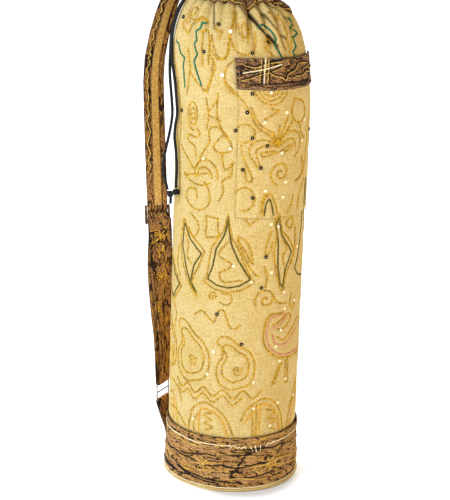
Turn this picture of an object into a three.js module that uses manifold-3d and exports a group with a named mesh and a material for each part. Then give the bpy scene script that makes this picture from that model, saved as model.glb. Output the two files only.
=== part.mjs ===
// A cloth bag for a rolled exercise mat: a stitched tube with a drawn and gathered mouth, a patch
// pocket, a band round its foot, a drawcord, and a shoulder strap with a slider and a wire ring.
// Millimetres, +Z up. The origin is on the floor under the middle of the round base, and the
// front of the bag faces -Y. An azimuth of 0 degrees is the front, and 90 is the right side, +X.
import * as THREE from 'three';
import { mergeVertices } from 'three/addons/utils/BufferGeometryUtils.js';
import Module from 'manifold-3d';

// Driving dimensions of the tube
const TUBE_RADIUS = 80;
const CLOTH = 2;
const GAP = 0.3;
const SHOULDER_HEIGHT = 520;
const DOME_HEIGHT = 100;
const LEAN_START = 480;
const LEAN_RATE = -0.105;

// The tube is drawn in 72 columns: 24 gathered folds with three columns each
const FOLDS = 24;
const COLUMNS_PER_FOLD = 3;
const COLUMNS = FOLDS * COLUMNS_PER_FOLD;
const COLUMN_ANGLE = 360 / COLUMNS;

// How deep each fold is drawn in, as a share, in turn from the front round by the right side
const FOLD_SHARES = [
  0.7, 1.3, 1.5, 1.2, 0.9, 1.1, 0.8, 0.6, 0.9, 1.1, 0.7, 1.0,
  0.8, 1.2, 0.9, 0.7, 1.0, 0.8, 0.6, 0.7, 0.9, 0.5, 0.8, 0.6,
];

// How far the folds reach in and out, by the angle climbed over the dome from the shoulder
const FOLD_DEPTHS = [
  { climb: 0, depth: 0 },
  { climb: 12, depth: 0.6 },
  { climb: 26, depth: 2.2 },
  { climb: 40, depth: 3.8 },
  { climb: 52, depth: 3 },
  { climb: 60, depth: 0.6 },
  { climb: 73.5, depth: 0.4 },
  { climb: 80, depth: 1.8 },
];

// Base, foot band and its piping
const BASE_THICKNESS = 2;
const BASE_RADIUS = 80.2;
const BAND_TOP = 70;
const BAND_BOTTOM = 4;
const BAND_CLOTH = 1.6;
const BAND_FLARE = 1;
const BAND_HEM = 6;
const BAND_HEM_RISE = 0.6;
const PIPING_RADIUS = 1.5;
const PIPING_CIRCLE = 82.6;
const PIPING_HEIGHT = 2.1;

// Patch pocket and the brown trim along its mouth
const POCKET_CLOTH = 1;
const POCKET_LEFT = -5;
const POCKET_RIGHT = 95;
const POCKET_BOTTOM = 349;
const POCKET_TOP = 536;
const POCKET_SLACK = 0.8;
const POCKET_DROP = 5;
const TRIM_BOTTOM = 503;
const TRIM_TOP = 539;
const TRIM_CLOTH = 1.2;
const TRIM_GAP = 0.5;

// Gathered casing at the mouth, with the channel that the drawcord runs in
const CASING_EDGE = 48;
const CASING_DROP = 16;
const CASING_LAP = 7;
const CASING_LIP = 76;
const CASING_CLOTH = 1.8;
const CASING_GAP = 0.4;
const CHANNEL_DEPTH = 4.2;
const CHANNEL_START = 60;
const CHANNEL_END = 73.5;
const SLIT_AZIMUTH = -82.5;
const SLIT_WIDTH = 9.5;
const SLIT_END = 68;

// Drawcord
const CORD_RADIUS = 1.75;
const CORD_SIDES = 8;
const CORD_STEP = 10;
const CORD_RING_CLIMB = 69;
const KNOT_RADIUS = 4.2;

// Shoulder strap, its slider, the wire ring and the tab that ties the ring to the foot
const STRAP_CLOTH = 2;
const STRIPE_WIDTH = 10;
const STRIPE_CLOTH = 0.9;
const STRIPE_SHIFT = 1.5;
const SLIDER_HEIGHT = 24;
const SLIDER_SIDE = 3.2;
const SLIDER_BAR = 2;
const SLIDER_OPENING = 24.8;
const RING_WIRE = 2;
const RING_OPENING = 28;
const RING_PITCH = 12;
const STRAP_SHARES = [-1, -0.27, 0.5, 1];
const BAR_WRAP = SLIDER_BAR / 2 + GAP + STRAP_CLOTH / 2;

// Colours and finishes
const TAN_CLOTH = new THREE.MeshStandardMaterial({ color: 0xd9b672, roughness: 0.9, metalness: 0 });
const BROWN_CLOTH = new THREE.MeshStandardMaterial({ color: 0x6b4526, roughness: 0.92, metalness: 0 });
const STRIPE_CLOTH_FINISH = new THREE.MeshStandardMaterial({ color: 0xc99c4a, roughness: 0.85, metalness: 0 });
const BLACK_CORD = new THREE.MeshStandardMaterial({ color: 0x1c1a1c, roughness: 0.7, metalness: 0 });
const ANTIQUE_BRASS = new THREE.MeshStandardMaterial({ color: 0x6a5236, roughness: 0.45, metalness: 0.9 });
const STEEL_WIRE = new THREE.MeshStandardMaterial({ color: 0x9a958c, roughness: 0.35, metalness: 1 });

const radians = THREE.MathUtils.degToRad;
const wasm = await Module();
wasm.setup();

const bag = new THREE.Group();

// Adds a named piece to the bag, or to a group inside it
function addPiece(name, geometry, material, parent = bag) {
  const mesh = new THREE.Mesh(geometry, material);
  mesh.name = name;
  parent.add(mesh);
  return mesh;
}

// Keeps only the merged corners and the triangles, which is what a closed solid needs
function merged(geometry) {
  const bare = geometry.clone();
  bare.deleteAttribute('normal');
  bare.deleteAttribute('uv');
  return mergeVertices(bare, 1e-4);
}

// Turns the triangles round where they point inwards
function outward(geometry) {
  const p = geometry.attributes.position;
  const index = geometry.index.array;
  const corner = (i) => new THREE.Vector3().fromBufferAttribute(p, index[i]);
  let volume = 0;
  for (let i = 0; i < index.length; i += 3) {
    volume += corner(i).dot(corner(i + 1).cross(corner(i + 2)));
  }
  if (volume < 0) {
    for (let i = 0; i < index.length; i += 3) {
      [index[i + 1], index[i + 2]] = [index[i + 2], index[i + 1]];
    }
  }
  return geometry;
}

// A closed solid through rings of points: looped back to its first ring, or capped at both ends by
// a row of faces between the ring's two long sides; each four-sided face is split by its shorter way
function loft(rings, looped) {
  const count = rings[0].length;
  const points = rings.flat();
  const index = [];
  const spans = looped ? rings.length : rings.length - 1;
  for (let i = 0; i < spans; i++) {
    const here = i * count;
    const next = ((i + 1) % rings.length) * count;
    for (let j = 0; j < count; j++) {
      const k = (j + 1) % count;
      const [a, b, c, d] = [here + j, next + j, next + k, here + k];
      const split = points[a].distanceTo(points[c]) < points[b].distanceTo(points[d]);
      index.push(...(split ? [a, b, c, a, c, d] : [a, b, d, b, c, d]));
    }
  }
  if (!looped) {
    const last = (rings.length - 1) * count;
    for (let j = 0; j < count / 2 - 1; j++) {
      const k = count - 1 - j;
      index.push(j, j + 1, k, j + 1, k - 1, k);
      index.push(last + j, last + k, last + j + 1, last + j + 1, last + k, last + k - 1);
    }
  }
  const geometry = new THREE.BufferGeometry();
  const corners = points.flatMap((p) => [p.x, p.y, p.z]);
  geometry.setAttribute('position', new THREE.Float32BufferAttribute(corners, 3));
  geometry.setIndex(index);
  return outward(geometry);
}

// A round tube along a curve
function tube(curve, radius, sides, steps) {
  const section = new THREE.Shape();
  section.absarc(0, 0, radius, 0, 2 * Math.PI);
  const options = { steps, curveSegments: sides, extrudePath: curve, bevelEnabled: false };
  return outward(merged(new THREE.ExtrudeGeometry(section, options)));
}

// Joins and cuts
function toSolid(geometry) {
  const bare = merged(geometry);
  const vertProperties = new Float32Array(bare.attributes.position.array);
  const triVerts = new Uint32Array(bare.index.array);
  return new wasm.Manifold(new wasm.Mesh({ numProp: 3, vertProperties, triVerts }));
}

function fromSolid(solid) {
  const { vertProperties, triVerts } = solid.getMesh();
  const geometry = new THREE.BufferGeometry();
  geometry.setAttribute('position', new THREE.Float32BufferAttribute(vertProperties, 3));
  geometry.setIndex(Array.from(triVerts));
  return geometry;
}

function joined(geometries) {
  return fromSolid(geometries.map(toSolid).reduce((whole, piece) => whole.add(piece)));
}

// Reads a column of a table at a place between its rows
function readTable(rows, key, place, column) {
  const after = rows.findIndex((row) => row[key] >= place);
  if (after <= 0) return rows[after === 0 ? 0 : rows.length - 1][column];
  const [low, high] = [rows[after - 1], rows[after]];
  const share = (place - low[key]) / (high[key] - low[key]);
  return low[column] + share * (high[column] - low[column]);
}

// The axis of the tube leans a little to the left above LEAN_START
function leanAt(height) {
  return LEAN_RATE * Math.max(0, height - LEAN_START);
}

// How far in or out a fold stands at an azimuth, from -1 in a valley to about 1 on a ridge
function foldWave(azimuth) {
  const place = (((azimuth / 360) * FOLDS) % FOLDS + FOLDS) % FOLDS;
  const fold = Math.floor(place);
  const share = place - fold;
  const depth = THREE.MathUtils.lerp(FOLD_SHARES[fold], FOLD_SHARES[(fold + 1) % FOLDS], share);
  return -depth * Math.cos(2 * Math.PI * share);
}

// A point of the straight tube, at a distance out from its cloth
function tubePoint(azimuth, height, out = 0) {
  const a = radians(azimuth);
  const r = TUBE_RADIUS + out;
  return new THREE.Vector3(r * Math.sin(a) + leanAt(height), -r * Math.cos(a), height);
}

// A point of the dome without its folds, at a climb from the shoulder and a distance out
function smoothDomePoint(azimuth, climb, out = 0) {
  const a = radians(azimuth);
  const c = radians(climb);
  const across = Math.cos(c) / TUBE_RADIUS;
  const up = Math.sin(c) / DOME_HEIGHT;
  const slope = Math.hypot(across, up);
  const r = TUBE_RADIUS * Math.cos(c) + (out * across) / slope;
  const height = SHOULDER_HEIGHT + DOME_HEIGHT * Math.sin(c);
  const lean = leanAt(height);
  return new THREE.Vector3(r * Math.sin(a) + lean, -r * Math.cos(a), height + (out * up) / slope);
}

// The same point on the gathered cloth
function domePoint(azimuth, climb, out = 0) {
  const fold = readTable(FOLD_DEPTHS, 'climb', climb, 'depth') * foldWave(azimuth);
  return smoothDomePoint(azimuth, climb, out + fold);
}

// The angle climbed over the dome at a height
function climbAt(height) {
  return THREE.MathUtils.radToDeg(Math.asin((height - SHOULDER_HEIGHT) / DOME_HEIGHT));
}

// The casing's edge hangs lower on the right side of the bag
function casingEdge(azimuth) {
  return CASING_EDGE - CASING_DROP * Math.max(0, Math.sin(radians(azimuth))) ** 3;
}

const allColumns = Array.from({ length: COLUMNS }, (_, i) => i * COLUMN_ANGLE);

// The straight cloth tube, open at both ends
function bodyTube() {
  const [foot, head] = [BASE_THICKNESS + GAP, LEAN_START];
  const rings = allColumns.map((azimuth) => [
    tubePoint(azimuth, foot),
    tubePoint(azimuth, head),
    tubePoint(azimuth, head, -CLOTH),
    tubePoint(azimuth, foot, -CLOTH),
  ]);
  return loft(rings, true);
}

// The top of the tube, gathered in folds up to the casing
function bodyTop() {
  const foot = LEAN_START + GAP;
  const rings = allColumns.map((azimuth) => {
    const edge = casingEdge(azimuth);
    const climbs = [0, climbAt(POCKET_TOP), 0.45 * edge, 0.72 * edge, edge, edge + CASING_LAP];
    const innerClimbs = [edge + CASING_LAP, edge, 0.45 * edge, 0];
    const outer = climbs.map((climb) => domePoint(azimuth, climb));
    const inner = innerClimbs.map((climb) => domePoint(azimuth, climb, -CLOTH));
    return [tubePoint(azimuth, foot), ...outer, ...inner, tubePoint(azimuth, foot, -CLOTH)];
  });
  return loft(rings, true);
}

// The gathered casing: an outer layer over the tube's edge, a lip, and a layer turned back inside
function mouthCasing() {
  const face = CASING_GAP + CASING_CLOTH;
  const inside = CASING_GAP - CHANNEL_DEPTH;
  const rings = allColumns.map((azimuth) => {
    const edge = casingEdge(azimuth);
    const lap = edge + CASING_LAP;
    const between = (lap + CHANNEL_START) / 2;
    const at = (climb, out) => domePoint(azimuth, climb, out);
    return [
      ...[edge, lap, between, CHANNEL_START, CASING_LIP].map((climb) => at(climb, face)),
      at(CASING_LIP + 3, (face + inside) / 2),
      ...[CASING_LIP, CHANNEL_START].map((climb) => at(climb, inside - CASING_CLOTH)),
      ...[CHANNEL_START, CHANNEL_END].map((climb) => at(climb, inside)),
      ...[CHANNEL_END, CHANNEL_START, lap, edge].map((climb) => at(climb, CASING_GAP)),
    ];
  });
  return fromSolid(toSolid(loft(rings, true)).subtract(toSolid(cordSlit())));
}

// The slit in the casing's outer layer that both ends of the drawcord leave by
function cordSlit() {
  const start = casingEdge(SLIT_AZIMUTH) - 4;
  const below = -2.4;
  const above = 10;
  const across = new THREE.Vector3(Math.cos(radians(SLIT_AZIMUTH)), Math.sin(radians(SLIT_AZIMUTH)), 0);
  const side = (climb, out, share) =>
    domePoint(SLIT_AZIMUTH, climb, out).addScaledVector(across, share * SLIT_WIDTH);
  const climbs = [start, (start + SLIT_END) / 2, SLIT_END];
  const rings = climbs.map((climb) => [
    side(climb, below, -0.5), side(climb, above, -0.5), side(climb, above, 0.5), side(climb, below, 0.5),
  ]);
  return loft(rings, false);
}

// The round base that the bag stands on
function basePanel() {
  const edge = 0.8;
  const profile = [
    new THREE.Vector2(0, 0),
    new THREE.Vector2(BASE_RADIUS - edge, 0),
    new THREE.Vector2(BASE_RADIUS, edge),
    new THREE.Vector2(BASE_RADIUS, BASE_THICKNESS),
    new THREE.Vector2(0, BASE_THICKNESS),
  ];
  return turned(profile, COLUMNS);
}

// The piping that covers the seam between the base and the foot band
function basePiping() {
  const corners = 6;
  const profile = Array.from({ length: corners + 1 }, (_, i) => {
    const a = (2 * Math.PI * i) / corners;
    const x = PIPING_CIRCLE + PIPING_RADIUS * Math.cos(a);
    return new THREE.Vector2(x, PIPING_HEIGHT + PIPING_RADIUS * Math.sin(a));
  });
  return turned(profile, COLUMNS / 2);
}

// A profile of radius and height turned about the vertical axis
function turned(profile, columns) {
  const lathe = new THREE.LatheGeometry(profile, columns);
  return outward(merged(lathe.rotateX(Math.PI / 2)));
}

// The foot band: a cloth ring over the tube, with a hem turned at its upper edge and a slight flare
function footBand() {
  const rings = allColumns.map((azimuth) => [
    tubePoint(azimuth, BAND_BOTTOM, GAP),
    tubePoint(azimuth, BAND_BOTTOM, GAP + BAND_CLOTH + BAND_FLARE),
    tubePoint(azimuth, BAND_TOP - BAND_HEM, GAP + BAND_CLOTH),
    tubePoint(azimuth, BAND_TOP - BAND_HEM, GAP + BAND_CLOTH + BAND_HEM_RISE),
    tubePoint(azimuth, BAND_TOP, GAP + BAND_CLOTH + BAND_HEM_RISE),
    tubePoint(azimuth, BAND_TOP, GAP),
  ]);
  return loft(rings, true);
}

// How far across the pocket an azimuth is, from 0 at its left side to 1 at its right
function pocketShare(azimuth) {
  return (azimuth - POCKET_LEFT) / (POCKET_RIGHT - POCKET_LEFT);
}

// How far the pocket stands off the tube: flat at its sewn sides and foot, slack at its mouth
function pocketStand(azimuth, height) {
  const side = Math.max(0, Math.sin(Math.PI * pocketShare(azimuth)));
  const rise = (height - POCKET_BOTTOM) / (POCKET_TOP - POCKET_BOTTOM);
  return GAP + POCKET_SLACK * side * THREE.MathUtils.clamp(rise, 0, 1);
}

// The tube or the lower dome, whichever holds the height, at a distance out from the cloth
function clothPoint(azimuth, height, out) {
  if (height <= SHOULDER_HEIGHT) return tubePoint(azimuth, height, out);
  return domePoint(azimuth, climbAt(height), out);
}

const pocketColumns = allColumns
  .map((_, i) => POCKET_LEFT + i * COLUMN_ANGLE)
  .filter((azimuth) => azimuth <= POCKET_RIGHT);

// A sheet over the pocket's columns: its foot and head run down to the right, and its middle rows
// follow the bends of the tube
function clothPatch({ foot, middle, head }, standAt, cloth) {
  const rings = pocketColumns.map((azimuth) => {
    const drop = POCKET_DROP * pocketShare(azimuth);
    const heights = [foot - drop, ...middle, head - drop];
    const face = heights.map((height) => clothPoint(azimuth, height, standAt(azimuth, height) + cloth));
    const back = heights.map((height) => clothPoint(azimuth, height, standAt(azimuth, height))).reverse();
    return [...face, ...back];
  });
  return loft(rings, false);
}

const POCKET_ROWS = { foot: POCKET_BOTTOM, middle: [LEAN_START, SHOULDER_HEIGHT], head: POCKET_TOP };
const TRIM_ROWS = { foot: TRIM_BOTTOM, middle: [SHOULDER_HEIGHT], head: TRIM_TOP };

function trimStand(azimuth, height) {
  return pocketStand(azimuth, height) + POCKET_CLOTH + TRIM_GAP;
}

// Drawcord: a ring in the channel, and two strands that hang from the slit to their knots
const CORD_FRONT_ROUTE = [
  [-46.6, -6.4, 609.7], [-51, -7, 608.3], [-56.7, -8, 606.1], [-63.7, -9, 601.6], [-70, -10, 594.8],
  [-76.6, -11.3, 584], [-81.2, -12.8, 571.6], [-84.1, -14.1, 558.5], [-85.4, -15.4, 544.7],
  [-85.2, -17, 530.7], [-84, -19.2, 518], [-82, -22.4, 507], [-80.2, -25, 496], [-79, -26, 486],
  [-77.6, -29, 473], [-76.8, -31, 460], [-78.8, -27, 445], [-79.4, -25.6, 431], [-77.4, -30.2, 416],
  [-76, -33.2, 402], [-75.6, -34.4, 388], [-76, -35.6, 377], [-75.8, -37.6, 371.6],
];
const CORD_REAR_ROUTE = [
  [-47.2, -2.3, 609.7], [-51.6, -2.9, 608.3], [-57.3, -3.6, 606.1], [-64.2, -4.5, 601.6],
  [-70.5, -5.4, 594.8], [-77.6, -6.8, 584.2], [-82.5, -8.1, 571.9], [-85.5, -9.1, 558.7],
  [-86.9, -10, 544.8], [-87.2, -11.2, 530.7], [-87.4, -13.4, 517], [-87, -15.4, 504], [-85.4, -17.6, 488],
  [-83.8, -19.6, 473], [-82.8, -21, 460], [-83.8, -21.6, 447], [-86.2, -22, 432], [-89.4, -22.6, 416],
  [-91.8, -23.2, 402], [-91.6, -24, 389], [-89, -25.6, 376], [-86.2, -27.4, 366.4],
];
const KNOT_UPPER = new THREE.Vector3(-75.6, -38.8, 367);
const KNOT_LOWER = new THREE.Vector3(-83.2, -29.6, 362);
const CORD_TAIL_END = new THREE.Vector3(-82.4, -29.4, 350);

function curveThrough(points) {
  return new THREE.CatmullRomCurve3(points.map((p) => new THREE.Vector3(...p)));
}

function cordStrand(route) {
  const curve = curveThrough(route);
  return tube(curve, CORD_RADIUS, CORD_SIDES, Math.round(curve.getLength() / CORD_STEP));
}

// The stretch of cord inside the channel, from one side of the slit round to the other
function cordRing() {
  const clear = 6;
  const span = 360 - 2 * clear;
  const steps = 30;
  const middle = CASING_GAP - CHANNEL_DEPTH / 2 - 0.45;
  const points = Array.from({ length: steps + 1 }, (_, i) => {
    const azimuth = SLIT_AZIMUTH + clear + (span * i) / steps;
    return smoothDomePoint(azimuth, CORD_RING_CLIMB, middle).toArray();
  });
  return tube(curveThrough(points), CORD_RADIUS - 0.5, CORD_SIDES, steps);
}

// Both overhand knots, the short link between them and the free tail, tied in one lump
function cordKnots() {
  const lumps = [KNOT_UPPER, KNOT_LOWER].map((centre) => {
    const lump = new THREE.SphereGeometry(KNOT_RADIUS, 10, 8);
    return lump.translate(centre.x, centre.y, centre.z);
  });
  const links = [[KNOT_UPPER, KNOT_LOWER], [KNOT_LOWER, CORD_TAIL_END]].map(([from, to]) =>
    tube(new THREE.LineCurve3(from, to), CORD_RADIUS, CORD_SIDES, 1));
  return joined([...lumps, ...links]);
}

// The strap's middle line, from the casing down to the wire ring: turn is how far its width is
// swung back from the X axis, in degrees
const STRAP_ROWS = [
  { x: -39, y: 20, z: 618.6, turn: 68, width: 26 },
  { x: -53, y: 19, z: 618.4, turn: 62, width: 26 },
  { x: -68, y: 17.5, z: 612, turn: 50, width: 26 },
  { x: -81, y: 16, z: 600, turn: 40, width: 26 },
  { x: -90.5, y: 15, z: 586, turn: 33, width: 26 },
  { x: -98, y: 14, z: 560, turn: 28, width: 26 },
  { x: -105, y: 13, z: 530, turn: 25, width: 26 },
  { x: -107.6, y: 12, z: 500, turn: 23, width: 26 },
  { x: -106.7, y: 12, z: 467, turn: 21, width: 26 },
  { x: -103.7, y: 12, z: 405, turn: 18, width: 26 },
  { x: -101.2, y: 12, z: 360, turn: 7, width: 25.4 },
  { x: -99.6, y: 12, z: 324, turn: 6, width: 24 },
  { x: -97.8, y: 13.4, z: 298, turn: 5, width: 24 },
  { x: -97.2, y: 18, z: 262, turn: 22, width: 28 },
  { x: -95, y: 28, z: 210, turn: 42, width: 29 },
  { x: -91.4, y: 39.5, z: 157, turn: 55, width: 29 },
  { x: -89.9, y: 38.8, z: 96, turn: 64, width: 27 },
];
const TAB_ROWS = [
  { x: -89.3, y: 38.5, z: 72, turn: 64, width: 27 },
  { x: -85.4, y: 36.6, z: 58, turn: 64, width: 27 },
  { x: -79.4, y: 36.8, z: 40, turn: 64, width: 26 },
  { x: -76, y: 36.8, z: 25, turn: 64, width: 26 },
  { x: -74.6, y: 36.4, z: 9, turn: 64, width: 26 },
];
const SLIDER_ROW = 11;
const RING_ROW = STRAP_ROWS.length - 1;

// A strip's middle line with its width, way across and way through at any place between two rows
function stripFrame(rows) {
  const curve = new THREE.CatmullRomCurve3(rows.map((row) => new THREE.Vector3(row.x, row.y, row.z)));
  const last = rows.length - 1;
  return (place) => {
    const at = THREE.MathUtils.clamp(place, 0, last);
    const low = Math.min(Math.floor(at), last - 1);
    const mix = (column) => THREE.MathUtils.lerp(rows[low][column], rows[low + 1][column], at - low);
    const turn = radians(mix('turn'));
    const along = curve.getTangent(at / last);
    const across = new THREE.Vector3(Math.cos(turn), Math.sin(turn), 0);
    across.addScaledVector(along, -across.dot(along)).normalize();
    const through = new THREE.Vector3().crossVectors(across, along).normalize();
    return { middle: curve.getPoint(at / last), along, across, through, width: mix('width') };
  };
}

// A flat strip along stops of a place on the middle line and a depth behind it
function strip(frameAt, stops, shape) {
  const middles = stops.map(({ place, depth, drop = 0 }) => {
    const frame = frameAt(place);
    return frame.middle.clone().addScaledVector(frame.through, depth).addScaledVector(frame.along, drop);
  });
  const rings = stops.map(({ place }, i) => {
    const { across, width } = frameAt(place);
    const along = middles[Math.min(i + 1, stops.length - 1)].clone().sub(middles[Math.max(i - 1, 0)]);
    const out = new THREE.Vector3().crossVectors(along, across).normalize();
    const half = (shape.width ?? width) / 2;
    const corner = (share, layer) => middles[i].clone()
      .addScaledVector(across, share * half + (shape.shift ?? 0))
      .addScaledVector(out, layer * (shape.cloth / 2));
    const shares = shape.shares ?? [-1, 1];
    const back = shares.map((share) => corner(share, -1));
    const front = shares.map((share) => corner(share, 1)).reverse();
    return [...back, ...front];
  });
  return loft(rings, false);
}

// Stops on a half circle of cloth round a bar at a place on the middle line
function wrapStops(place, startAngle, endAngle, count) {
  return Array.from({ length: count + 1 }, (_, i) => {
    const a = radians(startAngle + ((endAngle - startAngle) * i) / count);
    return { place, depth: BAR_WRAP * Math.cos(a), drop: BAR_WRAP * Math.sin(a) };
  });
}

const strapAt = stripFrame(STRAP_ROWS);
const tabAt = stripFrame(TAB_ROWS);

// Evenly spaced stops at one depth
function runStops(from, to, count, depth) {
  return Array.from({ length: count + 1 }, (_, i) => ({ place: from + ((to - from) * i) / count, depth }));
}

// The strap's way from the casing to the front of the slider's upper bar
const UPPER_STOPS = [
  ...runStops(0, 4, 10, 0),
  ...runStops(4.6, 10, 7, 0),
  { place: 10.35, depth: -BAR_WRAP / 2 },
  { place: 10.62, depth: -BAR_WRAP },
];

// Shoulder strap: down to the slider, behind its middle bar, round the ring's upper bar, and back
// up in front to the slider's middle bar, where its end is folded over and sewn
function shoulderStrap() {
  const behindFold = BAR_WRAP + STRAP_CLOTH + GAP;
  const stops = [
    ...UPPER_STOPS,
    { place: 10.77, depth: -BAR_WRAP },
    { place: 10.93, depth: behindFold * 0.75 },
    { place: 11, depth: behindFold },
    { place: 11.5, depth: behindFold },
    { place: 12, depth: BAR_WRAP + 0.6 },
    ...runStops(12.6, RING_ROW - 0.2, 5, BAR_WRAP),
    ...wrapStops(RING_ROW, 0, 180, 6),
    ...runStops(RING_ROW - 0.2, 12.6, 5, -BAR_WRAP),
    ...runStops(12, 11.2, 2, -BAR_WRAP),
    ...wrapStops(SLIDER_ROW, 180, 360, 6),
    { place: SLIDER_ROW + 0.28, depth: BAR_WRAP },
  ];
  return strip(strapAt, stops, { cloth: STRAP_CLOTH, shares: STRAP_SHARES });
}

// The pale ribbon sewn along the strap's face above the slider
function strapStripe() {
  const lift = -(STRAP_CLOTH / 2 + GAP + STRIPE_CLOTH / 2);
  const stops = UPPER_STOPS.slice(1).map(({ place, depth }) => ({ place, depth: depth + lift }));
  return strip(strapAt, stops, { cloth: STRIPE_CLOTH, width: STRIPE_WIDTH, shift: STRIPE_SHIFT });
}

// The tab: from the foot band up to the ring's lower bar, over it, and a little way down in front
function strapTab() {
  const leg = STRAP_CLOTH / 2 + GAP;
  const stops = [
    ...runStops(4, 1, 9, leg),
    { place: 0.5, depth: (leg + BAR_WRAP) / 2 },
    ...wrapStops(0, 0, -180, 6),
    { place: 0.5, depth: -(leg + BAR_WRAP) / 2 },
    ...runStops(1, 2, 3, -leg),
  ];
  return strip(tabAt, stops, { cloth: STRAP_CLOTH });
}

// A group set on the strap's middle line, with X across the strap, Y through it and Z up along it
function strapSeat(place) {
  const { middle, along, across, through } = strapAt(place);
  const seat = new THREE.Group();
  const basis = new THREE.Matrix4().makeBasis(across, through, along.clone().negate());
  seat.applyMatrix4(basis.setPosition(middle));
  bag.add(seat);
  return seat;
}

// Slider: two flat sides joined by three bars
function strapSlider() {
  const reach = SLIDER_OPENING + 2 * SLIDER_SIDE;
  const sides = [-1, 1].map((side) => {
    const plate = new THREE.BoxGeometry(SLIDER_SIDE, SLIDER_BAR, SLIDER_HEIGHT);
    return plate.translate((side * (SLIDER_OPENING + SLIDER_SIDE)) / 2, 0, 0);
  });
  const bars = [-1, 0, 1].map((level) => {
    const bar = new THREE.CylinderGeometry(SLIDER_BAR / 2, SLIDER_BAR / 2, reach - SLIDER_SIDE, 12);
    return bar.rotateZ(Math.PI / 2).translate(0, 0, (level * (SLIDER_HEIGHT - SLIDER_BAR)) / 2);
  });
  return joined([...sides, ...bars]);
}

// Ring: a rounded rectangle of wire with a bar across its middle
function wireRing() {
  const half = RING_OPENING / 2 + RING_WIRE / 2;
  const bend = 1.6;
  const outline = new THREE.CurvePath();
  const corners = [[half, RING_PITCH], [-half, RING_PITCH], [-half, -RING_PITCH], [half, -RING_PITCH]];
  const point = ([x, z]) => new THREE.Vector3(x, 0, z);
  corners.forEach((corner, i) => {
    const here = point(corner);
    const next = point(corners[(i + 1) % corners.length]);
    const after = point(corners[(i + 2) % corners.length]);
    const way = next.clone().sub(here).normalize();
    const turn = after.clone().sub(next).normalize();
    const from = here.addScaledVector(way, bend);
    const to = next.clone().addScaledVector(way, -bend);
    outline.add(new THREE.LineCurve3(from, to));
    outline.add(new THREE.QuadraticBezierCurve3(to, next, next.clone().addScaledVector(turn, bend)));
  });
  const rings = ringSections(outline.curves, RING_WIRE / 2);
  const bar = new THREE.CylinderGeometry(RING_WIRE / 2, RING_WIRE / 2, 2 * half, 8).rotateZ(Math.PI / 2);
  return joined([loft(rings, true), bar]);
}

// Round sections of a wire that lies in the XZ plane, at the ends and bends of its curves
function ringSections(curves, radius) {
  const sides = 8;
  const stations = curves.flatMap((curve) =>
    (curve.isLineCurve3 ? [0] : [0, 0.33, 0.67]).map((t) => [curve.getPoint(t), curve.getTangent(t)]));
  return stations.map(([centre, along]) => {
    const flat = new THREE.Vector3(-along.z, 0, along.x);
    return Array.from({ length: sides }, (_, i) => {
      const a = (2 * Math.PI * i) / sides;
      return centre.clone().addScaledVector(flat, radius * Math.cos(a))
        .add(new THREE.Vector3(0, radius * Math.sin(a), 0));
    });
  });
}

addPiece('body_tube', bodyTube(), TAN_CLOTH);
addPiece('body_top', bodyTop(), TAN_CLOTH);
addPiece('base_panel', basePanel(), TAN_CLOTH);
addPiece('base_piping', basePiping(), TAN_CLOTH);
addPiece('foot_band', footBand(), BROWN_CLOTH);
addPiece('pocket_panel', clothPatch(POCKET_ROWS, pocketStand, POCKET_CLOTH), TAN_CLOTH);
addPiece('pocket_trim', clothPatch(TRIM_ROWS, trimStand, TRIM_CLOTH), BROWN_CLOTH);
addPiece('mouth_casing', mouthCasing(), BROWN_CLOTH);
addPiece('drawcord_ring', cordRing(), BLACK_CORD);
addPiece('drawcord_front', cordStrand(CORD_FRONT_ROUTE), BLACK_CORD);
addPiece('drawcord_rear', cordStrand(CORD_REAR_ROUTE), BLACK_CORD);
addPiece('drawcord_knots', cordKnots(), BLACK_CORD);
addPiece('shoulder_strap', shoulderStrap(), BROWN_CLOTH);
addPiece('strap_stripe', strapStripe(), STRIPE_CLOTH_FINISH);
addPiece('strap_tab', strapTab(), BROWN_CLOTH);
addPiece('strap_slider', strapSlider(), ANTIQUE_BRASS, strapSeat(SLIDER_ROW));
const ringSeat = strapSeat(RING_ROW);
addPiece('strap_ring', wireRing(), STEEL_WIRE, ringSeat).position.z = -RING_PITCH;

export default bag;
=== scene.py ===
# %% [markdown]
# # A stitched cloth bag for a rolled exercise mat
# The bag is a straw-coloured cotton tube, gathered over a drawcord at its mouth. It has a brown
# patchwork band, trim and strap, and it is covered with rows of chain stitch and sequins.
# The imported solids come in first. They fix every size, so each piece below only has to follow them.

# %% Load the solids
import math

import bpy
import numpy as np
from mathutils import Matrix, Vector
from mathutils.kdtree import KDTree


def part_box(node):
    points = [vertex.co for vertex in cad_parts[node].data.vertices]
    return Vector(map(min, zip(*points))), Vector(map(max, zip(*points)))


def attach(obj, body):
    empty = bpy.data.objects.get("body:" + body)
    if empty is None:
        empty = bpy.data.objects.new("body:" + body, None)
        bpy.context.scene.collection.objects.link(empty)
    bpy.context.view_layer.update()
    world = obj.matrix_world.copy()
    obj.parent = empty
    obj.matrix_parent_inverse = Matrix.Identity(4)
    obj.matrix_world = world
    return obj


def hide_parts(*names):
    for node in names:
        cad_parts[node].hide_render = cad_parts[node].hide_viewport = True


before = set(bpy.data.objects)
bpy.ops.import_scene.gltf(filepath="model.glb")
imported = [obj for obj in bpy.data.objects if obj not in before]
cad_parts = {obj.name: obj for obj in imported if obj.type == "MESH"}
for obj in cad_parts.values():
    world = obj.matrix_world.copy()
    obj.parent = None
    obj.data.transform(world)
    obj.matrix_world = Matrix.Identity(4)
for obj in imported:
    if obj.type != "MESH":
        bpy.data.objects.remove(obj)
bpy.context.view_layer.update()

MM = 0.001

# %% [markdown]
# ## Camera
# The photograph looks a little down on the bag from the front, with a long lens and the camera
# rolled by two degrees. A camera could be aimed with a Track To constraint, but its roll is then
# hard to read, so the three directions of its frame are written out and put into one matrix.

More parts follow.
